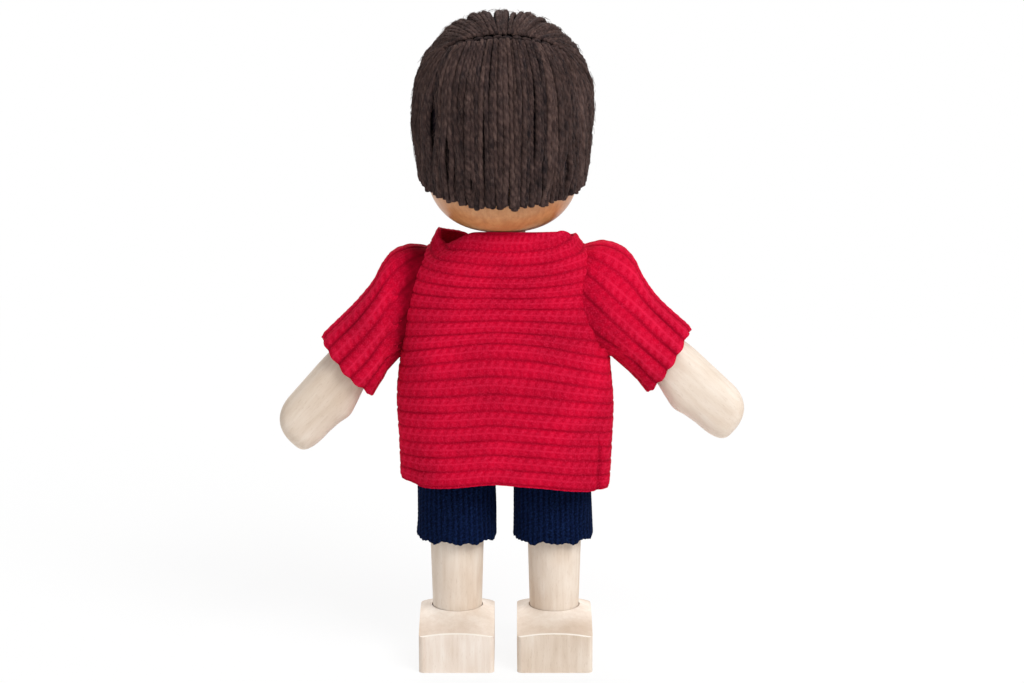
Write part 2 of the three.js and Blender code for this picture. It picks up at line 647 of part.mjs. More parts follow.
function headGeometry() {
  const bore = NECK_RADIUS + GAP;
  const boreTop = NECK_TOP + GAP;
  const rimFall = chinCurve(bore / HEAD_RADIUS);
  const profile = [[0, boreTop], [bore, boreTop], [bore, HEAD_LOW_Z - HEAD_LOWER * rimFall]];
  const steps = 8;
  for (let i = 1; i <= steps; i++) {
    const angle = (1 - i / steps) * Math.asin(Math.min(rimFall, 1));
    const fall = Math.sin(angle);
    profile.push([HEAD_RADIUS * chinCurve(fall), HEAD_LOW_Z - HEAD_LOWER * fall]);
  }
  for (let i = 0; i <= steps; i++) {
    const angle = (i / steps) * Math.PI / 2;
    profile.push([i === steps ? 0 : HEAD_RADIUS * Math.cos(angle), HEAD_HIGH_Z + HEAD_RADIUS * Math.sin(angle)]);
  }
  return turned(profile, HEAD_SEGMENTS);
}

// A point over the head: a direction from the crown's centre, and how far it lies off the wood
function overHead(direction, off) {
  if (direction.z >= 0) {
    return direction.clone().multiplyScalar(HEAD_RADIUS + off).add(new THREE.Vector3(0, 0, HEAD_HIGH_Z));
  }
  const round = new THREE.Vector2(direction.x, direction.y).normalize();
  const length = (Math.asin(Math.min(-direction.z, 1)) / (Math.PI / 2)) * (HEAD_BARREL + HEAD_LOWER);
  const fall = Math.max(length - HEAD_BARREL, 0) / HEAD_LOWER;
  const radius = (HEAD_RADIUS + off) * chinCurve(fall);
  return new THREE.Vector3(round.x * radius, round.y * radius, HEAD_HIGH_Z - length);
}

// The direction that overHead takes to a height, at an angle in degrees from the back of the head
function towards(degrees, z) {
  const turn = THREE.MathUtils.degToRad(degrees);
  const fall = HEAD_HIGH_Z - z;
  const tilt = fall > 0
    ? -(fall / (HEAD_BARREL + HEAD_LOWER)) * Math.PI / 2
    : Math.asin(Math.min(-fall / HEAD_RADIUS, 1));
  return new THREE.Vector3(Math.sin(turn) * Math.cos(tilt), Math.cos(turn) * Math.cos(tilt), Math.sin(tilt));
}

function alongParting(share, behind) {
  const radius = HEAD_RADIUS + HAIR_OUTSIDE;
  const [x, y] = [share * PARTING_HALF_LENGTH, PARTING_BEHIND - PARTING_BOW * share ** 2 + behind];
  return new THREE.Vector3(x, y, Math.sqrt(radius ** 2 - x ** 2 - y ** 2)).normalize();
}

function slerp(a, b, t) {
  const angle = a.angleTo(b);
  const [p, q] = [Math.sin((1 - t) * angle), Math.sin(t * angle)];
  return a.clone().multiplyScalar(p).addScaledVector(b, q).normalize();
}

const HAIR_COLUMNS = 37;
const HAIR_ROWS = 8;
const PARTING_ROOM = PARTING_RADIUS + GAP;

// Strands of yarn from the parting to the hair's edge, every second column a groove
function hairGeometry(behind, edge) {
  return sheet(HAIR_COLUMNS, HAIR_ROWS, (i, j, outer) => {
    const share = (2 * i) / (HAIR_COLUMNS - 1) - 1;
    const strand = slerp(alongParting(share, behind), edge(share), j / (HAIR_ROWS - 1));
    const ridge = HAIR_OUTSIDE - (i % 2 === 0 ? YARN_GROOVE : 0);
    return overHead(strand, outer ? ridge : HAIR_INSIDE);
  });
}

function napeEdge(share) {
  const z = CHIN_Z + lerp(HAIR_NAPE_ABOVE_CHIN, HAIR_SIDE_ABOVE_CHIN, share ** 2);
  return towards(share * HAIR_SIDE_ANGLE, z);
}

function fringeEdge(share) {
  const apart = THREE.MathUtils.radToDeg((2 * GAP) / HEAD_RADIUS);
  const turn = 180 - share * (180 - HAIR_SIDE_ANGLE - apart);
  const z = CHIN_Z + lerp(FRINGE_ABOVE_CHIN, HAIR_SIDE_ABOVE_CHIN, THREE.MathUtils.smoothstep(share ** 2, 0.35, 0.9));
  return towards(turn, z);
}

function capGeometry() {
  const rings = [];
  const levels = 8;
  const count = HEAD_SEGMENTS;
  const ring = (t, off) => Array.from({ length: count }, (_, j) => {
    const degrees = (j / count) * 360;
    const front = THREE.MathUtils.smoothstep(Math.abs(((degrees + 180) % 360) - 180), 70, 165);
    const edge = CHIN_Z + lerp(HAIR_SIDE_ABOVE_CHIN, FRINGE_ABOVE_CHIN, front) + CAP_SHORTER;
    const low = towards(degrees, edge);
    return overHead(slerp(new THREE.Vector3(0, 0, 1), low, t), off);
  });
  for (let i = 0; i <= levels; i++) rings.push(ring(i / levels, CAP_OUTSIDE));
  for (let i = levels; i >= 0; i--) rings.push(ring(i / levels, CAP_INSIDE));
  return skinned(rings, false);
}

function partingGeometry() {
  const steps = 8;
  const points = Array.from({ length: steps + 1 }, (_, i) => (
    overHead(alongParting((2 * i) / steps - 1, 0), HAIR_INSIDE + PARTING_RADIUS)
  ));
  const section = new THREE.Shape();
  section.absarc(0, 0, PARTING_RADIUS, 0, 2 * Math.PI, false);
  return new THREE.ExtrudeGeometry(section, {
    steps: 2 * steps,
    curveSegments: 3,
    bevelEnabled: false,
    extrudePath: new THREE.CatmullRomCurve3(points),
  });
}

function head() {
  const group = new THREE.Group();
  group.add(
    mesh('head', headGeometry(), HEAD_WOOD()),
    mesh('wig_cap', capGeometry(), DARK_CLOTH()),
    mesh('hair_back', hairGeometry(PARTING_ROOM, napeEdge), BROWN_YARN()),
    mesh('hair_front', hairGeometry(-PARTING_ROOM, fringeEdge), BROWN_YARN()),
    mesh('hair_parting', partingGeometry(), BROWN_YARN()),
  );
  return group;
}

const doll = new THREE.Group();
doll.name = 'miniature_doll';
doll.add(trunk(), head());
for (const [side, word] of [[1, 'left'], [-1, 'right']]) {
  doll.add(shoulder(side, word), leg(side, word));
}

// The arms rest at different angles: the figure stands with the middle of its span over the origin
const span = new THREE.Box3().setFromObject(doll, true);
doll.position.x = -(span.min.x + span.max.x) / 2;

export default doll;
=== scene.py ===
"""Looks of a miniature jointed doll: turned wood, a yarn wig, a ribbed sweater and ribbed shorts.

Sizes are in millimetres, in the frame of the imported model: +Z up, the floor at z = 0, the doll facing -Y.
"""

import logging
import math
from dataclasses import dataclass, field
from enum import Enum
from functools import partial
from typing import Any, Callable, ClassVar, Sequence

import bmesh
import bpy
import numpy as np
from mathutils import Matrix, Vector


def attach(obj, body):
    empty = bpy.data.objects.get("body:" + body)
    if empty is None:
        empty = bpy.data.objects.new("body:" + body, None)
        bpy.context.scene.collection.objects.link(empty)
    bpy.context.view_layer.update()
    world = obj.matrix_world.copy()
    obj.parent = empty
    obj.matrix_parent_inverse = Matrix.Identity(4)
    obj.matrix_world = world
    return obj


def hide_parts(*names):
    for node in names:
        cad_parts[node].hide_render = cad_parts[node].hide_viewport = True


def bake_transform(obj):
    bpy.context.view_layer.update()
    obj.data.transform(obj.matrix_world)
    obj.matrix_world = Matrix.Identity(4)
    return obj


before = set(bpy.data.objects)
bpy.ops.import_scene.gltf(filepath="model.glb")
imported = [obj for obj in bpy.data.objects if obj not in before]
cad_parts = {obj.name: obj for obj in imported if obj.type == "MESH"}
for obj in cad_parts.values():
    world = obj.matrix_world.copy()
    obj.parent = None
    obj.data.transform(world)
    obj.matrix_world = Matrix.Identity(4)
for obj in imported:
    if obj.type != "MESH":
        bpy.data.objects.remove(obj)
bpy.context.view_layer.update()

MM = 0.001
CENTRE_X = 0.942  # the neck stands this far from the origin, in millimetres
LOG = logging.getLogger("doll")

Array = np.ndarray
Place = Callable[[Array, Array], tuple[Array, Array]]  # points and marks of a grid's shares
Pair = tuple[float, float]
Curve = tuple[Pair, ...]  # knots of place and value
Mesh = bmesh.types.BMesh
Thing = bpy.types.Object
Material = bpy.types.Material
Tree = bpy.types.NodeTree
Node = bpy.types.Node
Socket = bpy.types.NodeSocket

SHADER = "Principled BSDF"
MARK = "relief"  # attribute of the points that the knits, the yarn and the feet are coloured by
PLAINER = 8  # the inner face of a knit has this many times fewer faces each way
WHITE, BLACK = "#ffffff", "#000000"


class Side(Enum):
    """The doll's own left and right, as the sign of X."""

    LEFT = 1
    RIGHT = -1

    @property
    def word(self) -> str:
        """The side as it stands in the names of the pieces."""
        return self.name.lower()


class Wall(Enum):
    """The two faces of a piece of knit or felt."""

    OUTER = 1
    INNER = 0

    def raised(self, points: Array, normal: Array, height: Array, thickness: float) -> Array:
        """The points of a face: the outer one raised to a height, the inner one set in by the thickness."""
        inset = height if self is Wall.OUTER else np.full(height.shape, -thickness)
        return points + normal * inset[..., None]


Bend = Callable[[Wall, Array, Array], tuple[Array, Array]]  # a Place for each face


# Numbers


def linear(code: str) -> tuple[float, float, float, float]:
    """Turns an sRGB hex colour to linear light.

    Args:
        code: The colour, such as "#c61131".

    Returns:
        Red, green, blue and an alpha of 1.
    """
    parts = [int(code[i:i + 2], 16) / 255 for i in (1, 3, 5)]
    red, green, blue = [p / 12.92 if p <= 0.04045 else ((p + 0.055) / 1.055) ** 2.4 for p in parts]
    return red, green, blue, 1.0


def smooth(low: float, high: float, x: Array) -> Array:
    """A soft step from 0, where x is low, to 1, where it is high."""
    t = np.clip((x - low) / (high - low), 0, 1)
    return t * t * (3 - 2 * t)


def spline(knots: Sequence[Pair], x: Array) -> Array:
    """A smooth curve through knots, flat beyond its ends.

    Args:
        knots: Pairs of place and value, in rising order of place.
        x: The places to read.

    Returns:
        The values there.
    """
    xs, ys = np.array(knots, float).T
    slope = np.gradient(ys, xs)
    i = np.clip(np.searchsorted(xs, x) - 1, 0, len(xs) - 2)
    h = xs[i + 1] - xs[i]
    t = np.clip((x - xs[i]) / h, 0, 1)
    start = (2 * t ** 3 - 3 * t ** 2 + 1) * ys[i] + (t ** 3 - 2 * t ** 2 + t) * slope[i] * h
    return start + (3 * t ** 2 - 2 * t ** 3) * ys[i + 1] + (t ** 3 - t ** 2) * slope[i + 1] * h


def ripple(x: Array, y: Array, seed: float) -> Array:
    """An uneven wave without a visible repeat, from about -1 to 1.

    Args:
        x: First coordinate, in wave lengths.
        y: Second coordinate, in wave lengths.
        seed: Shifts the pattern.

    Returns:
        The wave's height.
    """
    a = np.sin(2.1 * x + 1.3 * np.sin(1.7 * y + seed) + 3.1 * seed)
    b = np.sin(1.6 * y - 1.1 * x + 5.3 * seed)
    c = np.sin(3.3 * x + 2.7 * y + 7.9 * seed)
    return 0.45 * a + 0.35 * b + 0.2 * c


def power(x: Array, exponent: float) -> Array:
    """A power that keeps the sign."""
    return np.sign(x) * np.abs(x) ** exponent


def mixed(a: Array, b: Array, t: Array) -> Array:
    """A share t of the way from a to b."""
    return a + (b - a) * t


def unit(v: Array) -> Array:
    """Vectors along the last axis, made one long."""
    return v / np.maximum(np.linalg.norm(v, axis=-1, keepdims=True), 1e-12)


def arc(a: Array, b: Array, t: Array) -> Array:
    """Unit directions, a share t of the way along the arc from a to b."""
    angle, t = np.arccos(np.clip(np.sum(a * b, axis=-1), -1, 1))[..., None], t[..., None]
    return unit(np.sin((1 - t) * angle) * a + np.sin(t * angle) * b)


def outwards(surface: Callable[[Array, Array], Array], u: Array, v: Array) -> Array:
    """The unit normals of a bent surface, which point the way that u crossed with v does.

    Args:
        surface: Gives points for grid shares.
        u: Shares across.
        v: Shares along.

    Returns:
        Unit normals.
    """
    step = 1e-3
    across = surface(u + step, v) - surface(u - step, v)
    along = surface(u, v + step) - surface(u, v - step)
    return unit(np.cross(across, along))


class Section:
    """A rounded closed section that can be walked by length."""

    def __init__(self, half_wide: float, half_deep: float, squareness: float) -> None:
        """Measures the section.

        Args:
            half_wide: Half its width.
            half_deep: Half its depth.
            squareness: 2 for an ellipse, more for squarer corners.
        """
        self.squareness = squareness
        self.angles = np.linspace(-2 * np.pi, 4 * np.pi, 24001)
        c, s = self.at(self.angles)
        step = np.hypot(np.diff(half_wide * c), np.diff(half_deep * s))
        self.lengths = np.concatenate([[0], np.cumsum(step)])
        self.lengths -= np.interp(0, self.angles, self.lengths)
        self.round = float(np.interp(2 * np.pi, self.angles, self.lengths))

    def at(self, angle: Array) -> tuple[Array, Array]:
        """The section's unit shape at an angle from +X towards +Y."""
        share = 2 / self.squareness
        return power(np.cos(angle), share), power(np.sin(angle), share)

    def angle(self, length: Array) -> Array:
        """The angle at a walked length."""
        return np.interp(length, self.lengths, self.angles)

    def length(self, angle: Array) -> Array:
        """The walked length at an angle."""
        return np.interp(angle, self.angles, self.lengths)


# Meshes


def bent_grid(bm: Mesh, columns: int, rows: int, place: Place) -> list[bmesh.types.BMVert]:
    """Adds a grid to a mesh and bends it.

    Args:
        bm: The mesh.
        columns: Faces across.
        rows: Faces along.
        place: Gives points in millimetres, and a mark from 0 to 1, for grid shares from 0 to 1.

    Returns:
        The new vertices.
    """
    bm.loops.layers.uv.verify()
    layer = bm.verts.layers.float.get(MARK) or bm.verts.layers.float.new(MARK)
    made = bmesh.ops.create_grid(bm, x_segments=columns, y_segments=rows, size=0.5, calc_uvs=True)["verts"]
    flat = np.round(np.array([v.co[:2] for v in made]) + 0.5, 6)
    order = np.lexsort((flat[:, 0], flat[:, 1]))
    shape = (rows + 1, columns + 1)
    points, marks = place(flat[order, 0].reshape(shape), flat[order, 1].reshape(shape))
    points = (points * MM).reshape(-1, 3).tolist()
    marks = np.broadcast_to(marks, shape).ravel().tolist()
    for index, point, value in zip(order, points, marks):
        made[index].co = point
        made[index][layer] = value
    return made


def welded(bm: Mesh, reach: float = 1e-4) -> Mesh:
    """Merges the points that meet at seams and poles.

    Args:
        bm: The mesh.
        reach: How near such points lie, in millimetres.

    Returns:
        The same mesh.
    """
    bmesh.ops.remove_doubles(bm, verts=bm.verts[:], dist=reach * MM)
    bmesh.ops.dissolve_degenerate(bm, edges=bm.edges[:], dist=reach * MM)
    return bm


def closed_grid(columns: int, rows: int, place: Place) -> Mesh:
    """Bends a grid to a closed skin that faces outwards.

    Args:
        columns: Faces across.
        rows: Faces along.
        place: Gives the bending.

    Returns:
        The mesh.
    """
    bm = bmesh.new()
    bent_grid(bm, columns, rows, place)
    welded(bm)
    bmesh.ops.holes_fill(bm, edges=bm.edges[:], sides=0)
    bmesh.ops.recalc_face_normals(bm, faces=bm.faces[:])
    return bm


def two_faced(columns: int, rows: int, plainer: int, place: Bend) -> Mesh:
    """Makes the outer and the inner face of a wall.

    Args:
        columns: Faces across the outer face.
        rows: Faces along it.
        plainer: How many times fewer faces the inner face has each way.
        place: Gives the bending of each face.

    Returns:
        The mesh of both, open between them.
    """
    bm = bmesh.new()
    bent_grid(bm, columns, rows, partial(place, Wall.OUTER))
    inner = bent_grid(bm, columns // plainer, rows // plainer, partial(place, Wall.INNER))
    bmesh.ops.reverse_faces(bm, faces=list({f for v in inner for f in v.link_faces}))
    return bm


def knitted(columns: int, rows: int, place: Bend, closed: bool) -> Mesh:
    """Makes a wall of knit: a fine outer face, a plainer inner face and the rim between them.

    Args:
        columns: Faces across the outer face.
        rows: Faces along it.
        place: Gives the bending of each face.
        closed: Whether the last column is the first one again.

    Returns:
        The closed mesh.
    """
    bm = two_faced(columns, rows, PLAINER, place)
    if closed:
        welded(bm)
    rim = [e for e in bm.edges if e.is_boundary]
    bmesh.ops.bridge_loops(bm, edges=rim)
    for edge in rim:
        edge.smooth = False
    return bm


def turned(profile: Sequence[Pair], centre: Pair = (0, 0), steps: int = 72) -> Mesh:
    """Spins a profile about an upright axis.

    Args:
        profile: Pairs of radius and height, from axis to axis.
        centre: X and Y of the axis.
        steps: Faces round.

    Returns:
        The closed mesh.
    """
    bm = bmesh.new()
    points = [bm.verts.new((r * MM, 0, z * MM)) for r, z in profile]
    edges = [bm.edges.new(pair) for pair in zip(points, points[1:])]
    bmesh.ops.spin(
        bm, geom=points + edges, cent=(0, 0, 0), axis=(0, 0, 1), dvec=(0, 0, 0),
        angle=2 * math.pi, steps=steps, use_merge=True, use_duplicate=False,
    )
    welded(bm)
    bmesh.ops.recalc_face_normals(bm, faces=bm.faces[:])
    bmesh.ops.translate(bm, verts=bm.verts[:], vec=(centre[0] * MM, centre[1] * MM, 0))
    return bm


def block(low: Sequence[float], high: Sequence[float]) -> Mesh:
    """A box between two corners in millimetres.

    Args:
        low: The lowest corner.
        high: The highest corner.

    Returns:
        The box.
    """
    bm = bmesh.new()
    middle = [(a + b) / 2 * MM for a, b in zip(low, high)]
    size = [(b - a) * MM for a, b in zip(low, high)]
    bmesh.ops.create_cube(bm, size=1, matrix=Matrix.Translation(middle) @ Matrix.Diagonal((*size, 1)))
    return bm


def drill(centre: Sequence[float], radius: float, length: float, axis: str) -> Mesh:
    """A round cutter.

    Args:
        centre: Its middle, in millimetres.
        radius: Its radius.
        length: Its length.
        axis: "X", "Y" or "Z".

    Returns:
        The cutter's mesh.
    """
    quarter = partial(Matrix.Rotation, math.pi / 2, 4)
    turn = {"X": quarter("Y"), "Y": quarter("X"), "Z": Matrix()}
    bm = bmesh.new()
    bmesh.ops.create_cone(
        bm, cap_ends=True, segments=48, radius1=radius * MM, radius2=radius * MM, depth=length * MM,
        matrix=Matrix.Translation([c * MM for c in centre]) @ turn[axis],
    )
    return bm


def carved(body: Mesh, tools: Sequence[Mesh], operation: str = "DIFFERENCE") -> Mesh:
    """Cuts a solid with others.

    Args:
        body: The solid.
        tools: The cutters, used up here.
        operation: The kind of cut.

    Returns:
        What is left.
    """
    things = [made_object(f"carving_{i}", bm) for i, bm in enumerate([body, *tools])]
    for tool in things[1:]:
        step = things[0].modifiers.new("cut", "BOOLEAN")
        step.operation, step.solver, step.object = operation, "EXACT", tool
    depsgraph = bpy.context.evaluated_depsgraph_get()
    mesh = bpy.data.meshes.new_from_object(things[0].evaluated_get(depsgraph))
    left = bmesh.new()
    left.from_mesh(mesh)
    welded(left)
    for thing in things:
        bpy.data.meshes.remove(thing.data)
    bpy.data.meshes.remove(mesh)
    return left


def made_object(name: str, bm: Mesh) -> Thing:
    """Turns a mesh under work into an object at the origin.

    Args:
        name: The object's name.
        bm: The mesh, freed here.

    Returns:
        The object.
    """
    mesh = bpy.data.meshes.new(name)
    bm.to_mesh(mesh)
    bm.free()
    thing = bpy.data.objects.new(name, mesh)
    bpy.context.scene.collection.objects.link(thing)
    return thing


def dressed(name: str, bm: Mesh, material: Material, sharp: float = 180) -> Thing:
    """Makes a finished piece.

    Args:
        name: The piece's name.
        bm: Its mesh.
        material: Its material.
        sharp: Edges that fold more than this angle in degrees stay sharp.

    Returns:
        The piece.
    """
    bmesh.ops.translate(bm, verts=bm.verts[:], vec=(CENTRE_X * MM, 0, 0))
    for face in bm.faces:
        face.smooth = True
    piece = made_object(name, bm)
    piece.data.materials.append(material)
    if sharp < 180:
        piece.data.set_sharp_from_angle(angle=math.radians(sharp))
    LOG.info("%s: %d faces", name, len(piece.data.polygons))
    return piece


# Finishes


def add_node(tree: Tree, kind: str, settings: dict[str, Any], **inputs: Any) -> Node:
    """Adds a node with its settings and links.

    Args:
        tree: The tree that it goes in.
        kind: The node's type.
        settings: Its own settings by name.
        **inputs: Its sockets by name, underscores for spaces: a value, or another node's socket to link.

    Returns:
        The node.
    """
    node = tree.nodes.new(kind)
    for name, value in settings.items():
        setattr(node, name, value)
    for name, value in inputs.items():
        key = int(name[1:]) if name[1:].isdigit() else name.replace("_", " ")
        if isinstance(value, Socket):
            tree.links.new(value, node.inputs[key])
        else:
            node.inputs[key].default_value = value
    return node


def new_material(name: str) -> tuple[Material, Tree]:
    """Starts a material.

    Args:
        name: The real material's name.

    Returns:
        The material and its node tree.
    """
    material = bpy.data.materials.new(name)
    material.use_nodes = True
    return material, material.node_tree


def surfaced(tree: Tree, colour: Socket, **values: Any) -> None:
    """Gives a material's surface its colour and its other values.

    Args:
        tree: The node tree.
        colour: The colour's socket.
        **values: The surface's inputs by name, underscores for spaces: a value or a socket.
    """
    inputs = tree.nodes[SHADER].inputs
    tree.links.new(colour, inputs["Base Color"])
    for name, value in values.items():
        key = name.replace("_", " ")
        if isinstance(value, Socket):
            tree.links.new(value, inputs[key])
        else:
            inputs[key].default_value = value


def mottle(
    tree: Tree, wide: float, detail: float, long: float = 0, lean: float = 0, rough: float = 0.5,
) -> Socket:
    """A noise of marks of a real size, drawn out along a grain.

    Args:
        tree: The node tree.
        wide: Width of a mark, in millimetres.
        detail: Levels of finer marks within it.
        long: Its length along the grain, where that isn't its width.
        lean: Turn of the grain about Y, from upright, in radians.
        rough: Strength of the finer marks.

    Returns:
        The noise's socket.
    """
    spot = add_node(tree, "ShaderNodeTexCoord", {}).outputs["Object"]
    straight = add_node(tree, "ShaderNodeMapping", {}, Vector=spot, Rotation=(0, lean, 0)).outputs[0]
    scale = (1 / (wide * MM), 1 / (wide * MM), 1 / ((long or wide) * MM))
    drawn = add_node(tree, "ShaderNodeMapping", {}, Vector=straight, Scale=scale).outputs[0]
    noise = add_node(tree, "ShaderNodeTexNoise", {}, Vector=drawn, Scale=1.0, Detail=detail, Roughness=rough)
    return noise.outputs["Fac"]


def bumped(tree: Tree, height: Socket, strength: float, deep: float) -> Socket:
    """The normal of a fine relief, deep in millimetres."""
    node = add_node(tree, "ShaderNodeBump", {}, Height=height, Strength=strength, Distance=deep * MM)
    return node.outputs[0]


def ramp(tree: Tree, value: Socket, *stops: tuple[float, str]) -> Socket:
    """Colours a value.

    Args:
        tree: The node tree.
        value: What is read.
        *stops: Places and their sRGB colours.

    Returns:
        The colour's socket.
    """
    node = add_node(tree, "ShaderNodeValToRGB", {}, Fac=value)
    while len(node.color_ramp.elements) < len(stops):
        node.color_ramp.elements.new(0.5)
    for element, (place, code) in zip(node.color_ramp.elements, stops):
        element.position, element.color = place, linear(code)
    return node.outputs["Color"]


def tinted(tree: Tree, under: Any, over: Any, share: Any, mode: str = "MIX") -> Socket:
    """The socket of one colour laid over another, of which a share shows."""
    settings = {"data_type": "RGBA", "blend_type": mode}
    return add_node(tree, "ShaderNodeMix", settings, _0=share, _6=under, _7=over).outputs[2]


@dataclass(frozen=True)
class Wood:
    """Turned close-grained wood: long soft streaks, short ray flecks, a faint tooth from sanding."""

    name: str
    dark: str
    plain: str
    light: str
    fleck: str
    fleck_share: float
    roughness: float
    coat: float = 0.0
    streak: Pair = (0.75, 9.0)  # width and length, as in the next three
    ray: Pair = (0.16, 0.9)
    cloud: Pair = (5.0, 9.0)
    tooth: Pair = (0.12, 1.6)
    rough: float = 0.6

    def build(self, lean: float = 0.0) -> tuple[Material, Tree, Socket]:
        """Makes the material.

        Args:
            lean: Turn of the grain about Y, from upright, in radians.

        Returns:
            The material, its tree and the socket of its colour.
        """
        material, tree = new_material(self.name)
        streak, fleck, cloud, tooth = (
            mottle(tree, wide, detail, long, lean, self.rough) for wide, long, detail in (
                (*self.streak, 5.0), (*self.ray, 1.0), (*self.cloud, 2.0), (*self.tooth, 3.0),
            )
        )
        colour = ramp(tree, streak, (0.25, self.dark), (0.5, self.plain), (0.75, self.light))
        share = add_node(
            tree, "ShaderNodeMapRange", {}, Value=fleck, From_Min=0.6, From_Max=0.72, To_Max=self.fleck_share,
        )
        colour = tinted(tree, colour, linear(self.fleck), share.outputs[0])
        colour = tinted(tree, colour, ramp(tree, cloud, (0.3, "#e6dcd2"), (0.7, WHITE)), 0.7, "MULTIPLY")
        surfaced(
            tree, colour, Normal=bumped(tree, tooth, 0.18, 0.06), Roughness=self.roughness,
            Coat_Weight=self.coat, Coat_Roughness=0.28,
        )
        return material, tree, colour


BEECH = Wood("bare sanded beech", "#e2d2c1", "#eadccd", "#f1e6da", "#c4ab92", 0.24, 0.62)
PALE_BEECH = Wood("pale sanded beech", "#e9dbcd", "#f1e5da", "#f8f0e7", "#d0b89f", 0.2, 0.62)
# Darker beech; on the left arm its darker colour is painted shade.
DARKER_BEECH = Wood("darker sanded beech", "#dbcab8", "#e3d4c4", "#eaded1", "#bca389", 0.24, 0.62)
END_BEECH = Wood("beech end grain", "#eaddcf", "#f1e6da", "#f6ede3", "#d0baa4", 0.2, 0.7, streak=(0.75, 1.5))
STAINED = Wood("stained lacquered limewood", "#b67a49", "#c98d58", "#d6a06c", "#9a5f35", 0.3, 0.42, coat=0.25)


@dataclass(frozen=True)
class Knit:
    """Ribbed cotton knit: deep ribs of small plaited loops with a soft nap, coloured with painted shade
    between the ribs and a painted highlight on the loops.
    """

    name: str
    deep: str
    middle: str
    high: str
    nap: str
    sheen: float
    rib: float
    rib_height: float
    groove: float
    stitch: float
    stitch_height: float
    slant: float = 0.9
    stagger: float = 0.37  # how far a rib's stitches stand ahead of the last rib's, in stitches
    plait: Pair = (0.76, 0.16)  # middle and half width in shares of a rib, as in the next two
    purl: Pair = (0.28, 0.2)
    line: Pair = (0.54, 0.06)
    shade: str = "#5c000e"
    cloud: float = 7.0
    fibre: float = 0.22

    def relief(self, across: Array, along: Array) -> tuple[Array, Array]:
        """The knit's surface: a slanting row of stitches over a flatter one, with a fine line between.

        Args:
            across: Place across the ribs, in millimetres.
            along: Place along them.

        Returns:
            Heights over the grooves in millimetres, and marks from 0 in the grooves to 1, which paint shade
            into the grooves and light onto the raised loops.
        """
        place = across / self.rib
        share = place - np.floor(place)
        shut = 1 - smooth(0.0, self.groove, np.minimum(share, 1 - share))
        shut = shut * (0.75 + 0.25 * ripple(along / 5, np.rint(place), 5.0))
        stitch = along / self.stitch + self.stagger * np.floor(place)
        leans = (-self.slant * share, 0.5 + 0.4 * share)
        loops, bars = (0.5 + 0.5 * np.cos(2 * np.pi * (stitch + lean)) for lean in leans)
        plait, purl, line = (
            np.exp(-((share - middle) / half) ** sharp)
            for (middle, half), sharp in ((self.plait, 4), (self.purl, 4), (self.line, 2))
        )
        plait, purl = plait * loops, purl * bars
        height = self.rib_height * (1 - shut) + self.stitch_height * (plait + 0.7 * purl + 0.5 * line)
        # The mark paints shade into the grooves and light onto the loops, the upper row lightest.
        mark = 0.42 - 0.26 * shut + 0.28 * plait + 0.18 * purl + 0.34 * line
        return height, np.clip(mark, 0, 1)

    @property
    def thick(self) -> float:
        """How far the highest loops stand over the grooves."""
        return self.rib_height + self.stitch_height

    def build(self) -> Material:
        """Makes the material, which is coloured by the height of the loops: painted shade low in the grooves,
        a painted highlight high on the loops.

        Returns:
            The material.
        """
        material, tree = new_material(self.name)
        height = add_node(tree, "ShaderNodeAttribute", {"attribute_name": MARK}).outputs["Fac"]
        # Painted shade runs from the shade colour, reached only in the sleeves' root crease, through the
        # grooves, up to a painted highlight on the loops.
        stops = (0.0, self.shade), (0.18, self.deep), (0.5, self.middle), (0.95, self.high)
        colour = ramp(tree, height, *stops)
        cloud, fibre = mottle(tree, self.cloud, 3.0), mottle(tree, self.fibre, 3.0)
        colour = tinted(tree, colour, ramp(tree, cloud, (0.3, "#d0d0d0"), (0.7, WHITE)), 0.8, "MULTIPLY")
        lit = ramp(tree, height, (0.05, BLACK), (0.3, WHITE))
        fluff = tinted(tree, ramp(tree, fibre, (0.46, BLACK), (0.72, "#a0a0a0")), lit, 1.0, "MULTIPLY")
        surfaced(
            tree, tinted(tree, colour, linear(self.nap), fluff), Normal=bumped(tree, fibre, 0.7, 0.1),
            Roughness=0.95, Specular_IOR_Level=0.04, Sheen_Weight=self.sheen, Sheen_Roughness=0.5,
            Sheen_Tint=linear(self.nap),
        )
        return material


RED_KNIT = Knit(
    "red cotton rib knit", "#a60224", "#c8052d", "#e82249", "#e62e57", 0.06,
    rib=2.3, rib_height=0.17, groove=0.15, stitch=1.38, stitch_height=0.08,
)
NAVY_KNIT = Knit(
    "navy cotton rib knit", "#02071a", "#050e2a", "#14254f", "#213a68", 0.03,
    rib=0.84, rib_height=0.11, groove=0.3, stitch=0.7, stitch_height=0.05, shade="#01030a",
)


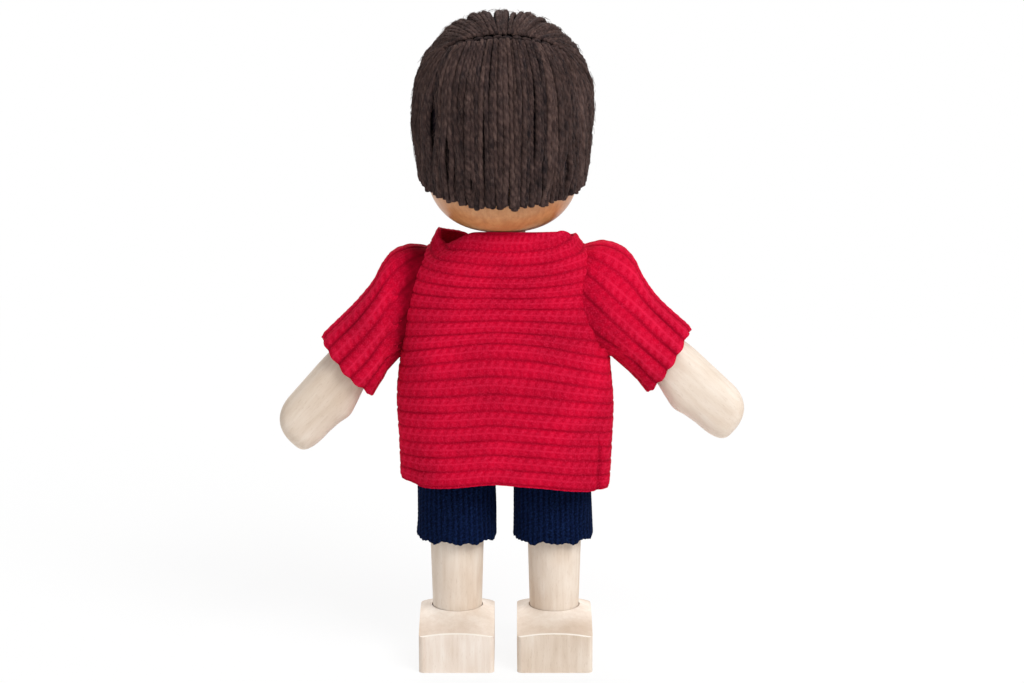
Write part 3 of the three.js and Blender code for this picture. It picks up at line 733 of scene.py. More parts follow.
@dataclass(frozen=True)
class Yarn:
    """Two-ply wool yarn: twisted plies with painted shade in the lines between them, each strand its own
    tone, fuzzy.
    """

    name: str = "brown two-ply wool yarn"
    deep: str = "#1a1215"
    middle: str = "#43322f"
    high: str = "#614c46"
    nap: str = "#7c6963"
    radius: float = 0.5
    ply: float = 0.15
    twist: float = 2.6
    fibre: float = 0.26
    cloud: float = 6.0

    def build(self) -> Material:
        """Makes the material, which is coloured by the mark on the strands.

        Returns:
            The material.
        """
        material, tree = new_material(self.name)
        mark = add_node(tree, "ShaderNodeAttribute", {"attribute_name": MARK}).outputs["Fac"]
        colour = ramp(tree, mark, (0.05, self.deep), (0.55, self.middle), (1.0, self.high))
        fibre, cloud = mottle(tree, self.fibre, 4.0, self.fibre / 0.3), mottle(tree, self.cloud, 2.0)
        colour = tinted(tree, colour, linear(self.nap), ramp(tree, fibre, (0.5, BLACK), (0.72, "#999999")))
        colour = tinted(tree, colour, linear(self.deep), ramp(tree, fibre, (0.28, "#aaaaaa"), (0.5, BLACK)))
        colour = tinted(tree, colour, ramp(tree, cloud, (0.3, "#cfc8c4"), (0.7, WHITE)), 0.8, "MULTIPLY")
        surfaced(
            tree, colour, Normal=bumped(tree, fibre, 0.7, 0.1), Roughness=0.9, Specular_IOR_Level=0.2,
            Sheen_Weight=0.2, Sheen_Tint=linear(self.nap),
        )
        return material


BROWN_YARN = Yarn()


@dataclass(frozen=True)
class Felt:
    """Thin dark felt: matt, with a short pressed nap."""

    name: str = "dark wool felt"
    low: str = "#151016"
    high: str = "#2a222a"
    fibre: float = 0.35

    def build(self) -> Material:
        """Makes the material.

        Returns:
            The material.
        """
        material, tree = new_material(self.name)
        nap = mottle(tree, self.fibre, 4.0)
        colour = ramp(tree, nap, (0.3, self.low), (0.7, self.high))
        surfaced(tree, colour, Normal=bumped(tree, nap, 0.6, 0.1), Roughness=1.0, Specular_IOR_Level=0.1)
        return material


@dataclass(frozen=True)
class Paint:
    """A dab of satin paint, a little uneven from the brush."""

    name: str
    colour: str
    roughness: float = 0.35
    stroke: float = 0.4

    def build(self) -> Material:
        """Makes the material.

        Returns:
            The material.
        """
        material, tree = new_material(self.name)
        brush = mottle(tree, self.stroke, 2.0)
        shades = ramp(tree, brush, (0.3, "#d8d8d8"), (0.7, WHITE))
        colour = tinted(tree, linear(self.colour), shades, 1.0, "MULTIPLY")
        surfaced(tree, colour, Normal=bumped(tree, brush, 0.2, 0.03), Roughness=self.roughness)
        return material


# The figure


@dataclass
class Legs:
    """Two tapered dowels in block feet."""

    spread: float = 7.5
    foot_end: float = 2.8
    ankle_radius: float = 3.8
    top_radius: float = 4.1
    rim: float = 8.1
    hip: float = 26.0
    slot_wide: float = 3.0
    slot_floor: float = 23.5
    peg_hole: float = 1.1
    foot_wide: float = 11.5
    heel: float = 9.2
    toe: float = 10.0
    heel_corner: float = 0.8
    toe_corner: float = 4.8
    fall: float = 0.356
    socket: float = 3.95
    socket_floor: float = 2.5
    # Next: the width of a painted highlight along each heel's top edge, the tints of painted shade towards
    # the rim of the left and the right foot's slope, and the highlight's colour.
    highlight_band: float = 0.42
    rim_shade: tuple[str, str] = ("#f7f2ee", "#ece4dc")
    edge_highlight: str = "#f9f1e6"
    full_z: float = 18.5

    def leg(self, side: Side) -> Mesh:
        """A dowel with a domed, forked top.

        Args:
            side: Which leg.

        Returns:
            The mesh.
        """
        quarter = np.linspace(0, math.pi / 2, 9)[:-1]
        dome = [(self.top_radius * math.cos(a), self.hip + self.top_radius * math.sin(a)) for a in quarter]
        ankle = [(self.ankle_radius, self.foot_end), (self.ankle_radius, self.rim)]
        foot = [(0, self.foot_end), *ankle, (self.top_radius, self.full_z)]
        x = side.value * self.spread
        body = turned([*foot, *dome, (0, self.hip + self.top_radius)], (x, 0))
        half, far = self.slot_wide / 2, 2 * self.top_radius
        slot = block((x - half, -far, self.slot_floor), (x + half, far, self.hip + far))
        return carved(body, [slot, drill((x, 0, self.hip), self.peg_hole, 4 * far, "X")])

    def foot(self, side: Side) -> Mesh:
        """A block with rounded corners, a top turned to a slope and a socket for the dowel.

        Args:
            side: Which foot.

        Returns:
            The mesh.
        """
        x, half = side.value * self.spread, self.foot_wide / 2
        body = block((-half, -self.toe, 0), (half, self.heel, self.rim + 1))
        for corner, sign in ((self.heel_corner, 1), (self.toe_corner, -1)):
            upright = [
                e for e in body.edges
                if abs(e.verts[0].co.z - e.verts[1].co.z) > MM and e.verts[0].co.y * sign > MM * 5
            ]
            bmesh.ops.bevel(
                body, geom=upright, offset=corner * MM, offset_type="OFFSET", segments=10, profile=0.5,
                affect="EDGES", material=-1,
            )
        far = 20.0
        away = np.linspace(far - self.socket, 0, 40)
        worn = [0.3 * (1 - math.exp(-d / 0.9)) * math.exp(-d / 3) for d in away]
        flare = [(self.socket + d, self.rim - self.fall * d - w) for d, w in zip(away, worn)]
        slope = turned([(0, -1), (far, -1), *flare, (0, self.rim)], steps=128)
        body = carved(body, [slope], "INTERSECT")
        body = carved(body, [drill((0, 0, self.socket_floor + 10), self.socket, 20, "Z")])
        # The mark for painted shade on the slope, rising from the socket towards the rim.
        layer = body.verts.layers.float.new(MARK)
        for vert in body.verts:
            vert[layer] = float(smooth(self.socket + 0.5, self.heel - 0.5, math.hypot(*vert.co.xy) / MM))
        bmesh.ops.translate(body, verts=body.verts[:], vec=(x * MM, 0, 0))
        return body

    def top(self, rim_shade: str) -> Material:
        """The end grain of a foot's slope, with painted shade towards its rim and a painted highlight along
        the heel's edge.

        Args:
            rim_shade: Tint of the painted shade towards the rim.

        Returns:
            The material.
        """
        material, tree, colour = END_BEECH.build()
        out = add_node(tree, "ShaderNodeAttribute", {"attribute_name": MARK}).outputs["Fac"]
        # Painted shade, darker towards the rim.
        colour = tinted(tree, colour, ramp(tree, out, (0.0, WHITE), (1.0, rim_shade)), 1.0, "MULTIPLY")
        spot = add_node(tree, "ShaderNodeTexCoord", {}).outputs["Object"]
        back = add_node(tree, "ShaderNodeSeparateXYZ", {}, Vector=spot).outputs["Y"]
        # Painted highlight along the heel's top edge, where the slope meets the heel.
        low, high = (self.heel - self.highlight_band) * MM, (self.heel - 0.6 * self.highlight_band) * MM
        edge_highlight = add_node(tree, "ShaderNodeMapRange", {}, Value=back, From_Min=low, From_Max=high)
        colour = tinted(tree, colour, linear(self.edge_highlight), edge_highlight.outputs[0])
        surfaced(tree, colour)
        return material

    def build(self) -> None:
        """Makes the legs and the feet."""
        material = BEECH.build()[0]
        for side, wood, rim_shade in zip(Side, (PALE_BEECH, DARKER_BEECH), self.rim_shade):
            leg = dressed(f"{side.word}_leg_dowel", self.leg(side), material, 35)
            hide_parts(f"{side.word}_leg")
            foot = dressed(f"{side.word}_block_foot", self.foot(side), wood.build()[0], 30)
            foot.modifiers.new("flat sides", "WEIGHTED_NORMAL").keep_sharp = True
            foot.data.materials.append(self.top(rim_shade))
            for face in foot.data.polygons:
                face.material_index = int(face.normal.z > 0.5)
            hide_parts(f"{side.word}_foot")
            for piece in (leg, foot):
                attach(piece, f"{side.word}_leg")
            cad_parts[f"{side.word}_hip_peg"].data.materials[0] = material


@dataclass
class Arms:
    """Two flat limbs with mitten hands, sanded round."""

    shoulder_x: float = 13.3
    shoulder_z: float = 57.9
    lean: dict[Side, float] = field(default_factory=lambda: {Side.LEFT: 41.0, Side.RIGHT: 46.5})
    half_upper: float = 2.9
    half_elbow: float = 2.95
    half_wrist: float = 3.8
    half_thick: float = 3.2
    elbow: float = 11.0
    wrist: float = 17.0
    hand_out: Curve = ((21.6, 3.88),)
    thumb: Curve = ((19.6, 4.5), (21.6, 4.9), (23.4, 4.5))
    palm: float = 25.6
    palm_in: float = 4.2
    palm_out: float = 3.9
    finger: float = 5.2
    tip_in: float = 2.0
    slot_wide: float = 3.0
    slot_end: float = 2.8
    peg_hole: float = 1.1
    squareness: float = 2.7
    faces: tuple[int, int] = (64, 128)

    def placed(self, side: Side, out: Array, deep: Array, down: Array) -> Array:
        """Turns arm measures into points.

        Args:
            side: Which arm.
            out: Away from the arm's line, outwards.
            deep: Along Y.
            down: Along the arm, from the shoulder peg.

        Returns:
            Points in millimetres.
        """
        lean = math.radians(self.lean[side])
        x = self.shoulder_x + out * math.cos(lean) + down * math.sin(lean)
        z = self.shoulder_z + out * math.sin(lean) - down * math.cos(lean)
        return np.stack(np.broadcast_arrays(side.value * x, deep, z), axis=-1)

    def outline(self, down: Array) -> tuple[Array, Array]:
        """The limb's two edges.

        Args:
            down: Places along the arm.

        Returns:
            The outer edge and the inner edge, away from the arm's line.
        """
        straight = ((0, self.half_upper), (self.elbow, self.half_elbow), (self.wrist, self.half_wrist))
        over = spline((*straight, *self.hand_out, (self.palm, self.palm_out)), down)
        under = -spline((*straight, *self.thumb, (self.palm, self.palm_in)), down)
        share = np.sqrt(np.clip((self.palm + self.finger - down) / self.finger, 0, 1))
        tip = -self.tip_in * (1 - share) ** 2
        edge = 2 * share * (1 - share) + share ** 2
        past = down > self.palm
        outer = np.where(past, tip + edge * self.palm_out, over)
        return outer, np.where(past, tip - edge * self.palm_in, under)

    def arm(self, side: Side) -> Mesh:
        """The limb, forked at the shoulder.

        Args:
            side: Which arm.

        Returns:
            The mesh.
        """
        def place(u: Array, v: Array) -> tuple[Array, Array]:
            """Bends the grid from the shoulder to the finger tips.

            Args:
                u: Shares across.
                v: Shares along.

            Returns:
                Points in millimetres, and marks from 0 to 1.
            """
            down = mixed(-self.half_upper, self.palm + self.finger, 0.5 - 0.5 * np.cos(np.pi * v))
            top = np.sqrt(1 - np.clip(-down / self.half_upper, 0, 1) ** 2)
            over, under = self.outline(down)
            tip = np.clip((self.palm + self.finger - down) / self.finger, 0, 1)
            thick = self.half_thick * (1 - 0.1 * smooth(18, 31, down)) * top * np.sqrt(1 - (1 - tip) ** 5)
            angle = 2 * np.pi * u
            c, s = power(np.cos(angle), 2 / self.squareness), power(np.sin(angle), 2 / self.squareness)
            return self.placed(side, (over + under) / 2 + (over - under) / 2 * top * c, thick * s, down), u

        body = closed_grid(*self.faces, place)
        lean = math.radians(self.lean[side]) * side.value
        slot = block((-9, -self.slot_wide / 2, -self.slot_end), (9, self.slot_wide / 2, 9))
        peg = Vector((side.value * self.shoulder_x, 0, self.shoulder_z)) * MM
        leaning = Matrix.Translation(peg) @ Matrix.Rotation(-lean, 4, "Y")
        bmesh.ops.transform(slot, matrix=leaning, verts=slot.verts[:])
        return carved(body, [slot, drill(peg / MM, self.peg_hole, 20, "Y")])

    def build(self) -> None:
        """Makes the arms and gives the hidden pegs and knuckles their wood."""
        # The left arm's darker wood is painted shade.
        for side, wood in zip(Side, (DARKER_BEECH, BEECH)):
            material = wood.build(math.radians(self.lean[side]) * side.value)[0]
            piece = dressed(f"{side.word}_arm_limb", self.arm(side), material, 50)
            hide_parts(f"{side.word}_arm")
            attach(piece, f"{side.word}_arm")
            for node in ("shoulder_knuckle", "shoulder_peg"):
                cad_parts[f"{side.word}_{node}"].data.materials[0] = material


@dataclass
class Trunk:
    """The hidden trunk with its tenons, and the neck dowel."""

    neck_radius: float = 3.0
    neck_low: float = 55.0
    neck_high: float = 76.0

    def build(self) -> None:
        """Dresses the trunk and makes the neck."""
        material = BEECH.build()[0]
        for node in ("torso", "left_hip_tenon", "right_hip_tenon"):
            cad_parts[node].data.materials[0] = material
        r, low, high = self.neck_radius, self.neck_low, self.neck_high
        rod = turned([(0, low), (r, low), (r, high), (0, high)], steps=48)
        neck = dressed("neck_rod", rod, material, 35)
        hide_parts("neck_dowel")
        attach(neck, "torso")


@dataclass
class Head:
    """The turned head, with a plain painted face in front."""

    radius: float = 11.7
    lower: float = 12.0
    barrel: float = 7.5
    fullness: float = 2.6
    aside: float = 0.4
    chin_z: float = 67.0
    bore: float = 3.3
    bore_top: float = 76.3
    eye_turn: float = 21.0
    eye_z: float = 79.6
    eye_radius: float = 0.95
    eye_tall: float = 1.12
    eye_thick: float = 0.12
    sunk: float = 0.02
    smile_z: float = 73.6
    smile_half_turn: float = 15.0
    smile_sag: float = 1.3
    smile_radius: float = 0.2
    smile_flat: float = 0.45
    smile_proud: float = 0.03
    cheek_turn: float = 36.0
    cheek_z: float = 75.6
    cheek_radius: float = 2.9
    blush: str = "#c4523f"
    blush_share: float = 0.5

    @property
    def high_z(self) -> float:
        """Height of the crown's centre."""
        return self.chin_z + self.lower + self.barrel

    def chin(self, fall: Array) -> Array:
        """How the lower dome draws in, from 1 at the barrel to 0 at the chin."""
        return np.maximum(1 - np.abs(fall) ** self.fullness, 0) ** (1 / self.fullness)

    def over(self, way: Array, off: Array) -> Array:
        """Points over the head.

        Args:
            way: Unit directions from the crown's centre.
            off: How far each point lies off the wood.

        Returns:
            Points in millimetres.
        """
        off = np.asarray(off, float)[..., None] if np.ndim(off) else off
        dome = way * (self.radius + off) + np.array([0, 0, self.high_z])
        length = np.arcsin(np.clip(-way[..., 2:], 0, 1)) / (np.pi / 2) * (self.barrel + self.lower)
        fall = np.maximum(length - self.barrel, 0) / self.lower
        flat = unit(way[..., :2]) * (self.radius + off) * self.chin(fall)
        side = np.concatenate([flat, self.high_z - length], axis=-1)
        return np.where(way[..., 2:] >= 0, dome, side) + np.array([self.aside, 0, 0])

    def towards(self, turn: Array, z: Array) -> Array:
        """Directions from the crown's centre to a height on the head.

        Args:
            turn: Degrees from the back of the head, towards the doll's left.
            z: The height.

        Returns:
            Unit directions.
        """
        turn, fall = np.radians(turn), self.high_z - np.asarray(z, float)
        low = -fall / (self.barrel + self.lower) * np.pi / 2
        tilt = np.where(fall > 0, low, np.arcsin(np.clip(-fall / self.radius, 0, 1)))
        return np.stack([np.sin(turn) * np.cos(tilt), np.cos(turn) * np.cos(tilt), np.sin(tilt)], axis=-1)

    def wood(self) -> Mesh:
        """The turned head, bored for the neck.

        Returns:
            The mesh.
        """
        start = float(self.chin(np.array(self.bore / self.radius)))
        falls = np.sin(np.linspace(math.asin(start), 0, 30))
        low = [(float(self.radius * self.chin(f)), self.chin_z + self.lower * (1 - f)) for f in falls]
        low[0] = (self.bore, low[0][1])
        quarter = np.linspace(0, math.pi / 2, 24)[:-1]
        high = [(self.radius * math.cos(a), self.high_z + self.radius * math.sin(a)) for a in quarter]
        hole, crown = [(0, self.bore_top), (self.bore, self.bore_top)], (0, self.high_z + self.radius)
        return turned([*hole, *low, *high, crown], (self.aside, 0), 96)

    def eye(self, side: Side) -> Mesh:
        """A round dot of paint, lying on the wood."""
        def place(u: Array, v: Array) -> tuple[Array, Array]:
            """Bends the grid from the dot's edge to its middle.

            Args:
                u: Shares across.
                v: Shares along.

            Returns:
                Points in millimetres, and marks from 0 to 1.
            """
            angle, reach = 2 * np.pi * u, self.eye_radius * (1 - v)
            turn = 180 - side.value * self.eye_turn + np.degrees(reach * np.cos(angle) / self.radius)
            off = self.eye_thick * np.sqrt(np.clip(1 - (1 - v) ** 4, 0, 1)) - self.sunk
            return self.over(self.towards(turn, self.eye_z + self.eye_tall * reach * np.sin(angle)), off), v

        return closed_grid(32, 8, place)

    def smile(self) -> Mesh:
        """A thin painted line, curved up at its ends."""
        def place(u: Array, v: Array) -> tuple[Array, Array]:
            """Bends the grid from one end of the line to the other.

            Args:
                u: Shares across.
                v: Shares along.

            Returns:
                Points in millimetres, and marks from 0 to 1.
            """
            share = 2 * v - 1
            thin = self.smile_radius * np.sqrt(np.clip(1 - share ** 6, 0, 1))
            angle = 2 * np.pi * u
            turn = 180 - share * self.smile_half_turn
            z = self.smile_z + self.smile_sag * share ** 2 + thin * np.cos(angle)
            off = self.smile_flat * thin * np.sin(angle) + self.smile_proud
            return self.over(self.towards(turn, z), off), v

        return closed_grid(12, 40, place)

    def build(self) -> None:
        """Makes the head and its face."""
        material, tree, colour = STAINED.build()
        spot = add_node(tree, "ShaderNodeTexCoord", {}).outputs["Object"]
        for side in Side:
            turn = np.array(180 - side.value * self.cheek_turn)
            x, y, z = self.over(self.towards(turn, np.array(self.cheek_z)), 0.0) * MM
            middle = (x + CENTRE_X * MM, y, z)
            far = add_node(tree, "ShaderNodeVectorMath", {"operation": "DISTANCE"}, _0=spot, _1=middle)
            apart = far.outputs["Value"]
            blush = add_node(
                tree, "ShaderNodeMapRange", {"interpolation_type": "SMOOTHSTEP"}, Value=apart,
                From_Min=0.0, From_Max=self.cheek_radius * MM, To_Min=self.blush_share, To_Max=0.0,
            )
            colour = tinted(tree, colour, linear(self.blush), blush.outputs[0])
        surfaced(tree, colour)
        head = dressed("turned_head", self.wood(), material, 50)
        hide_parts("head")
        dark = Paint("dark brown satin paint", "#2b1a14").build()
        rose = Paint("rose satin paint", "#a3402f", 0.45).build()
        pieces = [head, dressed("face_smile", self.smile(), rose)]
        pieces += [dressed(f"face_{side.word}_eye", self.eye(side), dark) for side in Side]
        for piece in pieces:
            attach(piece, "head")


@dataclass
class Wig:
    """Strands of yarn laid from a sewn parting over a felt cap."""

    head: Head
    cap_inside: float = 0.35
    cap_outside: float = 0.65
    yarn_inside: float = 0.95
    parting_behind: float = 8.307
    parting_half: float = 8.8
    parting_bow: float = 2.3
    parting_room: float = 0.36
    side_turn: float = 98.0
    nape: float = 72.0
    side_end: float = 75.4
    fringe: float = 87.0
    cap_shorter: float = 2.2
    back_strands: int = 66
    front_strands: int = 74
    stitches: int = 12
    zigzag: float = 0.12
    thread: float = 0.3
    fibres: int = 2600
    seed: int = 7
    gaps: tuple[tuple[float, float, float, float], ...] = (
        (0.6, 0.47, 0.16, 0.1), (0.4, 0.7, 0.14, 0.045), (0.2, 0.85, 0.06, 0.035), (-0.3, 0.78, 0.08, 0.035),
        (-0.5, 0.8, 0.1, 0.06), (-0.27, 0.1, 0.1, 0.045), (0.3, 0.3, 0.14, 0.02),
    )
    ends_close: float = 0.5
    tip: float = 0.2
    uneven: float = 0.06
    over_reach: float = 1.95
    drift: float = 0.012
    length_spread: float = 0.008
    radius_spread: float = 0.06
    tone_spread: float = 0.14
    stagger: float = 0.2
    bulge: float = 0.16
    waver: float = 0.12
    under_span: Pair = (0.55, 0.985)
    # Painted shade on the strands of the lower layer, under the others.
    under_shade: float = 0.2
    fibre: float = 0.04
    fibre_long: Pair = (0.6, 1.5)
    fibre_fan: float = 0.5
    fibre_rise: float = 0.12
    fibre_curl: float = 0.35
    paths: list[Array] = field(default_factory=list)

    def parting(self, share: Array, behind: Array) -> Array:
        """Directions along the parting.

        Args:
            share: From -1 at the doll's right end to 1 at its left end.
            behind: How far behind the seam.

        Returns:
            Unit directions from the crown's centre.
        """
        y = self.parting_behind - self.parting_bow * share ** 2 + np.asarray(behind, float)
        x, y = np.broadcast_arrays(share * self.parting_half, y)
        reach = self.head.radius + self.over_reach
        return unit(np.stack([x, y, np.sqrt(reach ** 2 - x ** 2 - y ** 2)], axis=-1))

    def nape_edge(self, share: Array) -> Array:
        """Where the strands of the back end."""
        return self.head.towards(share * self.side_turn, mixed(self.nape, self.side_end, share ** 2))

    def fringe_edge(self, share: Array) -> Array:
        """Where the strands of the front end."""
        turn = 180 - share * (180 - self.side_turn - 3)
        return self.head.towards(turn, mixed(self.fringe, self.side_end, smooth(0.35, 0.9, share ** 2)))

    def upright(self, points: Array) -> Array:
        """The ways out of the head at points over it.

        Args:
            points: Points in millimetres.

        Returns:
            Unit directions.
        """
        middle = np.zeros_like(points)
        middle[:, 2] = np.minimum(points[:, 2], self.head.high_z)
        return unit(points - middle)

    def strand(self, bm: Mesh, path: Array, radius: Array | float, tone: float, start: float) -> None:
        """Adds one twisted strand.

        Args:
            bm: The mesh that it goes in.
            path: Points along its middle, in millimetres.
            radius: Its radius, which may change along it.
            tone: Its shade, added to the mark.
            start: Where its twist starts, in turns.
        """
        ahead = unit(np.gradient(path, axis=0))
        cross = unit(np.cross(ahead, self.upright(path)))
        up = np.cross(cross, ahead)
        length = np.concatenate([[0], np.cumsum(np.linalg.norm(np.diff(path, axis=0), axis=1))])
        rows = len(path) - 1
        twist = BROWN_YARN.twist * (0.85 + 0.3 * start)
        ends = np.minimum(length, length[-1] - length)
        full = radius * np.sqrt(np.clip(ends / self.tip, 0, 1))
        full = full * (1 + self.uneven * np.sin(length * 1.9 + 20 * start))

        def place(u: Array, v: Array) -> tuple[Array, Array]:
            """Bends the grid round the path, two plies thick.

            Args:
                u: Shares across.
                v: Shares along.

            Returns:
                Points in millimetres, and marks from 0 to 1.
            """
            row = np.rint(v * rows).astype(int)
            angle = 2 * np.pi * u
            lobe = np.abs(np.cos(angle))
            turn = angle + 2 * np.pi * (length[row] / twist + start)
            out = full[row] * (1 - BROWN_YARN.ply + BROWN_YARN.ply * lobe)
            outer = up[row] * np.cos(turn)[..., None] - cross[row] * np.sin(turn)[..., None]
            points = path[row] + out[..., None] * outer
            # The mark is lighter on each ply's crest and darker between the plies, as painted highlight and
            # painted shade; worn only varies that contrast along the strand.
            worn = 0.5 + 0.5 * np.sin(3.1 * length[row] + 40 * start)
            shade = 0.12 * np.sin(1.3 * length[row] + 70 * start)
            return points, np.clip(0.34 + (0.12 + 0.26 * worn) * lobe + shade + tone, 0, 1)

        bent_grid(bm, 12, rows, place)

    def sheet(self, count: int, behind: float, edge: Callable[[Array], Array], rows: int, seed: int) -> Mesh:
        """A row of strands from the parting to an edge.

        Args:
            count: How many strands.
            behind: Which side of the parting, as a distance behind it.
            edge: Gives the strands' ends.
            rows: Rings along a strand.
            seed: Seed of the strands' unevenness.

        Returns:
            The mesh of all of them.
        """
        chance = np.random.default_rng(seed)
        bm = bmesh.new()
        turn = self.side_turn if behind > 0 else 85
        layers = [(i, False) for i in range(count)] + [(i, True) for i in range(count) if behind > 0]
        for i, under in layers:
            share = 2 * (i + 0.5 * under) / (count - 1) - 1
            t = np.linspace(*self.under_span, rows // 3 + 1) if under else np.linspace(0, 1, rows + 1)
            drift, wave = chance.normal(0, self.drift), chance.normal(0, self.drift)
            seat = chance.uniform(0, 1)
            pushed = sum(
                width * np.sign(share - at)
                * np.exp(-((share - at) / (0.03 + width)) ** 2 - ((t - along) / half) ** 2)
                for at, along, half, width in (self.gaps if behind > 0 and not under else ())
            )
            end = np.clip(share + drift + wave * np.sin(6 * t + 9 * seat) + pushed, -1.02, 1.02)
            near = math.sin(math.radians(share * turn)) / math.sin(math.radians(turn))
            near += chance.normal(0, self.drift)
            a, b = self.parting(np.full(len(t), np.clip(near, -1, 1)), behind), edge(end)
            way = arc(a, b, t * chance.normal(1.0, self.length_spread))
            swell = 0.7 + (0.3 if behind > 0 else 0.14) * smooth(0, 0.4, t)
            radius = BROWN_YARN.radius * chance.normal(1.0, self.radius_spread) * swell
            lift = self.yarn_inside + BROWN_YARN.radius
            lift = lift + self.stagger * (i % 2) * (1 - smooth(0.1, 0.5, t)) * (behind > 0)
            lift = lift + self.bulge * chance.normal() * np.sin(np.pi * t)
            lift = lift + self.waver * np.sin(7 * t + 6 * seat + 3 * i)
            closing = 1 - self.ends_close * smooth(0.5, 1.0, t)
            path = self.head.over(way, np.full(t.shape, self.cap_inside) if under else lift * closing)
            # The lower layer's strands get painted shade.
            tone = chance.normal(0, self.tone_spread) - self.under_shade * under
            self.strand(bm, path, radius, tone, chance.uniform(0, 1))
            if not under:
                self.paths.append(path)
        return welded(bm, 1e-3)

    def fuzz(self, count: int) -> Mesh:
        """Loose fibres that stand off the strands.

        Args:
            count: How many fibres.

        Returns:
            The mesh of all of them.
        """
        chance = np.random.default_rng(self.seed + 2)
        rings = 5
        start, ahead = np.zeros((count, 3)), np.zeros((count, 3))
        for i in range(count):
            path = self.paths[chance.integers(len(self.paths))]
            row = chance.integers(3, len(path) - 8)
            start[i], ahead[i] = path[row], path[row + 5] - path[row]
        up, ahead = self.upright(start), unit(ahead)
        cross = np.cross(ahead, up)
        aside = cross * chance.normal(0, self.fibre_fan, (count, 1))
        way = unit(ahead + aside + up * np.abs(chance.normal(0, self.fibre_rise, (count, 1))))
        curl = cross * chance.normal(0, self.fibre_curl, (count, 1))
        bend = curl + up * chance.normal(-0.1, 0.1, (count, 1))
        long = chance.uniform(*self.fibre_long, (count, 1))
        start = start + up * BROWN_YARN.radius * 0.9 + cross * chance.uniform(-0.3, 0.3, (count, 1))

        def place(u: Array, v: Array) -> tuple[Array, Array]:
            """Bends the grid along one fibre after another.

            Args:
                u: Shares across.
                v: Shares along.

            Returns:
                Points in millimetres, and marks from 0 to 1.
            """
            row = np.rint(v * (count * rings - 1)).astype(int)
            i, t = row // rings, (row % rings)[..., None] / (rings - 1)
            angle = (2 * np.pi * u)[..., None]
            thin = self.fibre * (1 - 0.6 * t)
            points = start[i] + long[i] * (way[i] * t + bend[i] * t ** 2)
            return points + thin * (up[i] * np.cos(angle) + cross[i] * np.sin(angle)), 0.6 + 0.4 * t[..., 0]

        bm = bmesh.new()
        bent_grid(bm, 3, count * rings - 1, place)
        between = [f for f in bm.faces if max(e.calc_length() for e in f.edges) > 0.9 * MM]
        bmesh.ops.delete(bm, geom=between, context="FACES")
        return welded(bm)

    def cap(self) -> Mesh:
        """The felt cap under the yarn.

        Returns:
            The closed mesh.
        """
        def place(face: Wall, u: Array, v: Array) -> tuple[Array, Array]:
            """Bends a face of the cap from its edge to the crown.

            Args:
                face: Which face.
                u: Shares across.
                v: Shares along.

            Returns:
                Points in millimetres, and marks from 0 to 1.
            """
            turn = -360 * u
            front = smooth(70, 165, np.abs((turn + 180) % 360 - 180))
            low = self.head.towards(turn, mixed(self.side_end, self.fringe, front) + self.cap_shorter)
            top = np.broadcast_to(np.array([0, 0, 1.0]), low.shape)
            off = self.cap_outside if face is Wall.OUTER else self.cap_inside
            return self.head.over(arc(top, low, 1 - v), np.full(u.shape, off)), v

        bm = welded(two_faced(96, 32, 1, place))
        bmesh.ops.bridge_loops(bm, edges=[e for e in bm.edges if e.is_boundary])
        return bm

    def seam(self) -> Mesh:
        """The row of stitches along the parting.

        Returns:
            The mesh.
        """
        bm = bmesh.new()
        arch = np.sin(np.linspace(0, np.pi, 13))
        for i in range(self.stitches):
            share = np.linspace(2 * i / self.stitches - 1, 2 * (i + 1) / self.stitches - 1, 13)
            off = self.yarn_inside + 0.15 + 0.25 * arch
            way = self.parting(share, self.zigzag * (i % 2) - self.zigzag / 2)
            self.strand(bm, self.head.over(way, off), self.thread, -0.25, 0.3 * i)
        return welded(bm, 1e-3)

    def build(self) -> None:
        """Makes the cap, the two sheets of yarn and the parting."""
        yarn = BROWN_YARN.build()
        back = self.sheet(self.back_strands, self.parting_room, self.nape_edge, 88, self.seed)
        front = self.sheet(self.front_strands, -self.parting_room, self.fringe_edge, 84, self.seed + 3)
        made = {
            "wig_cap": dressed("felt_cap", self.cap(), Felt().build()),
            "hair_back": dressed("yarn_back", back, yarn),
            "hair_front": dressed("yarn_front", front, yarn),
            "hair_parting": dressed("yarn_parting", self.seam(), yarn),
        }
        for node, piece in made.items():
            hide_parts(node)
            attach(piece, "head")
        fuzz = dressed("yarn_fuzz", self.fuzz(self.fibres), yarn)
        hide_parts("hair_back")
        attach(fuzz, "head")


# The clothes


@dataclass(frozen=True)
class SleeveCut:
    """Outline of a sleeve at seven steps from its root to its cuff, and how its cuff hangs."""

    out: tuple[float, ...]
    down: tuple[float, ...]
    under_out: tuple[float, ...]
    under_down: tuple[float, ...]
    deep: tuple[float, ...]
    near_short: float
    far_long: float
    notch: float
    # Painted shade in the crease at the sleeve's root.
    crease: tuple[float, float, float]  # darkness, where it ends at the root, and its fade
    front_deep: tuple[float, ...] = (6.6, 6.5, 6.3, 6.0, 5.8, 5.6, 4.9)
    steps: tuple[float, ...] = (0, 0.2, 0.3, 0.42, 0.55, 0.7, 1)

    def at(self, name: str, t: Array) -> Array:
        """One of the outline's measures along the sleeve."""
        return spline(tuple(zip(self.steps, getattr(self, name))), t)


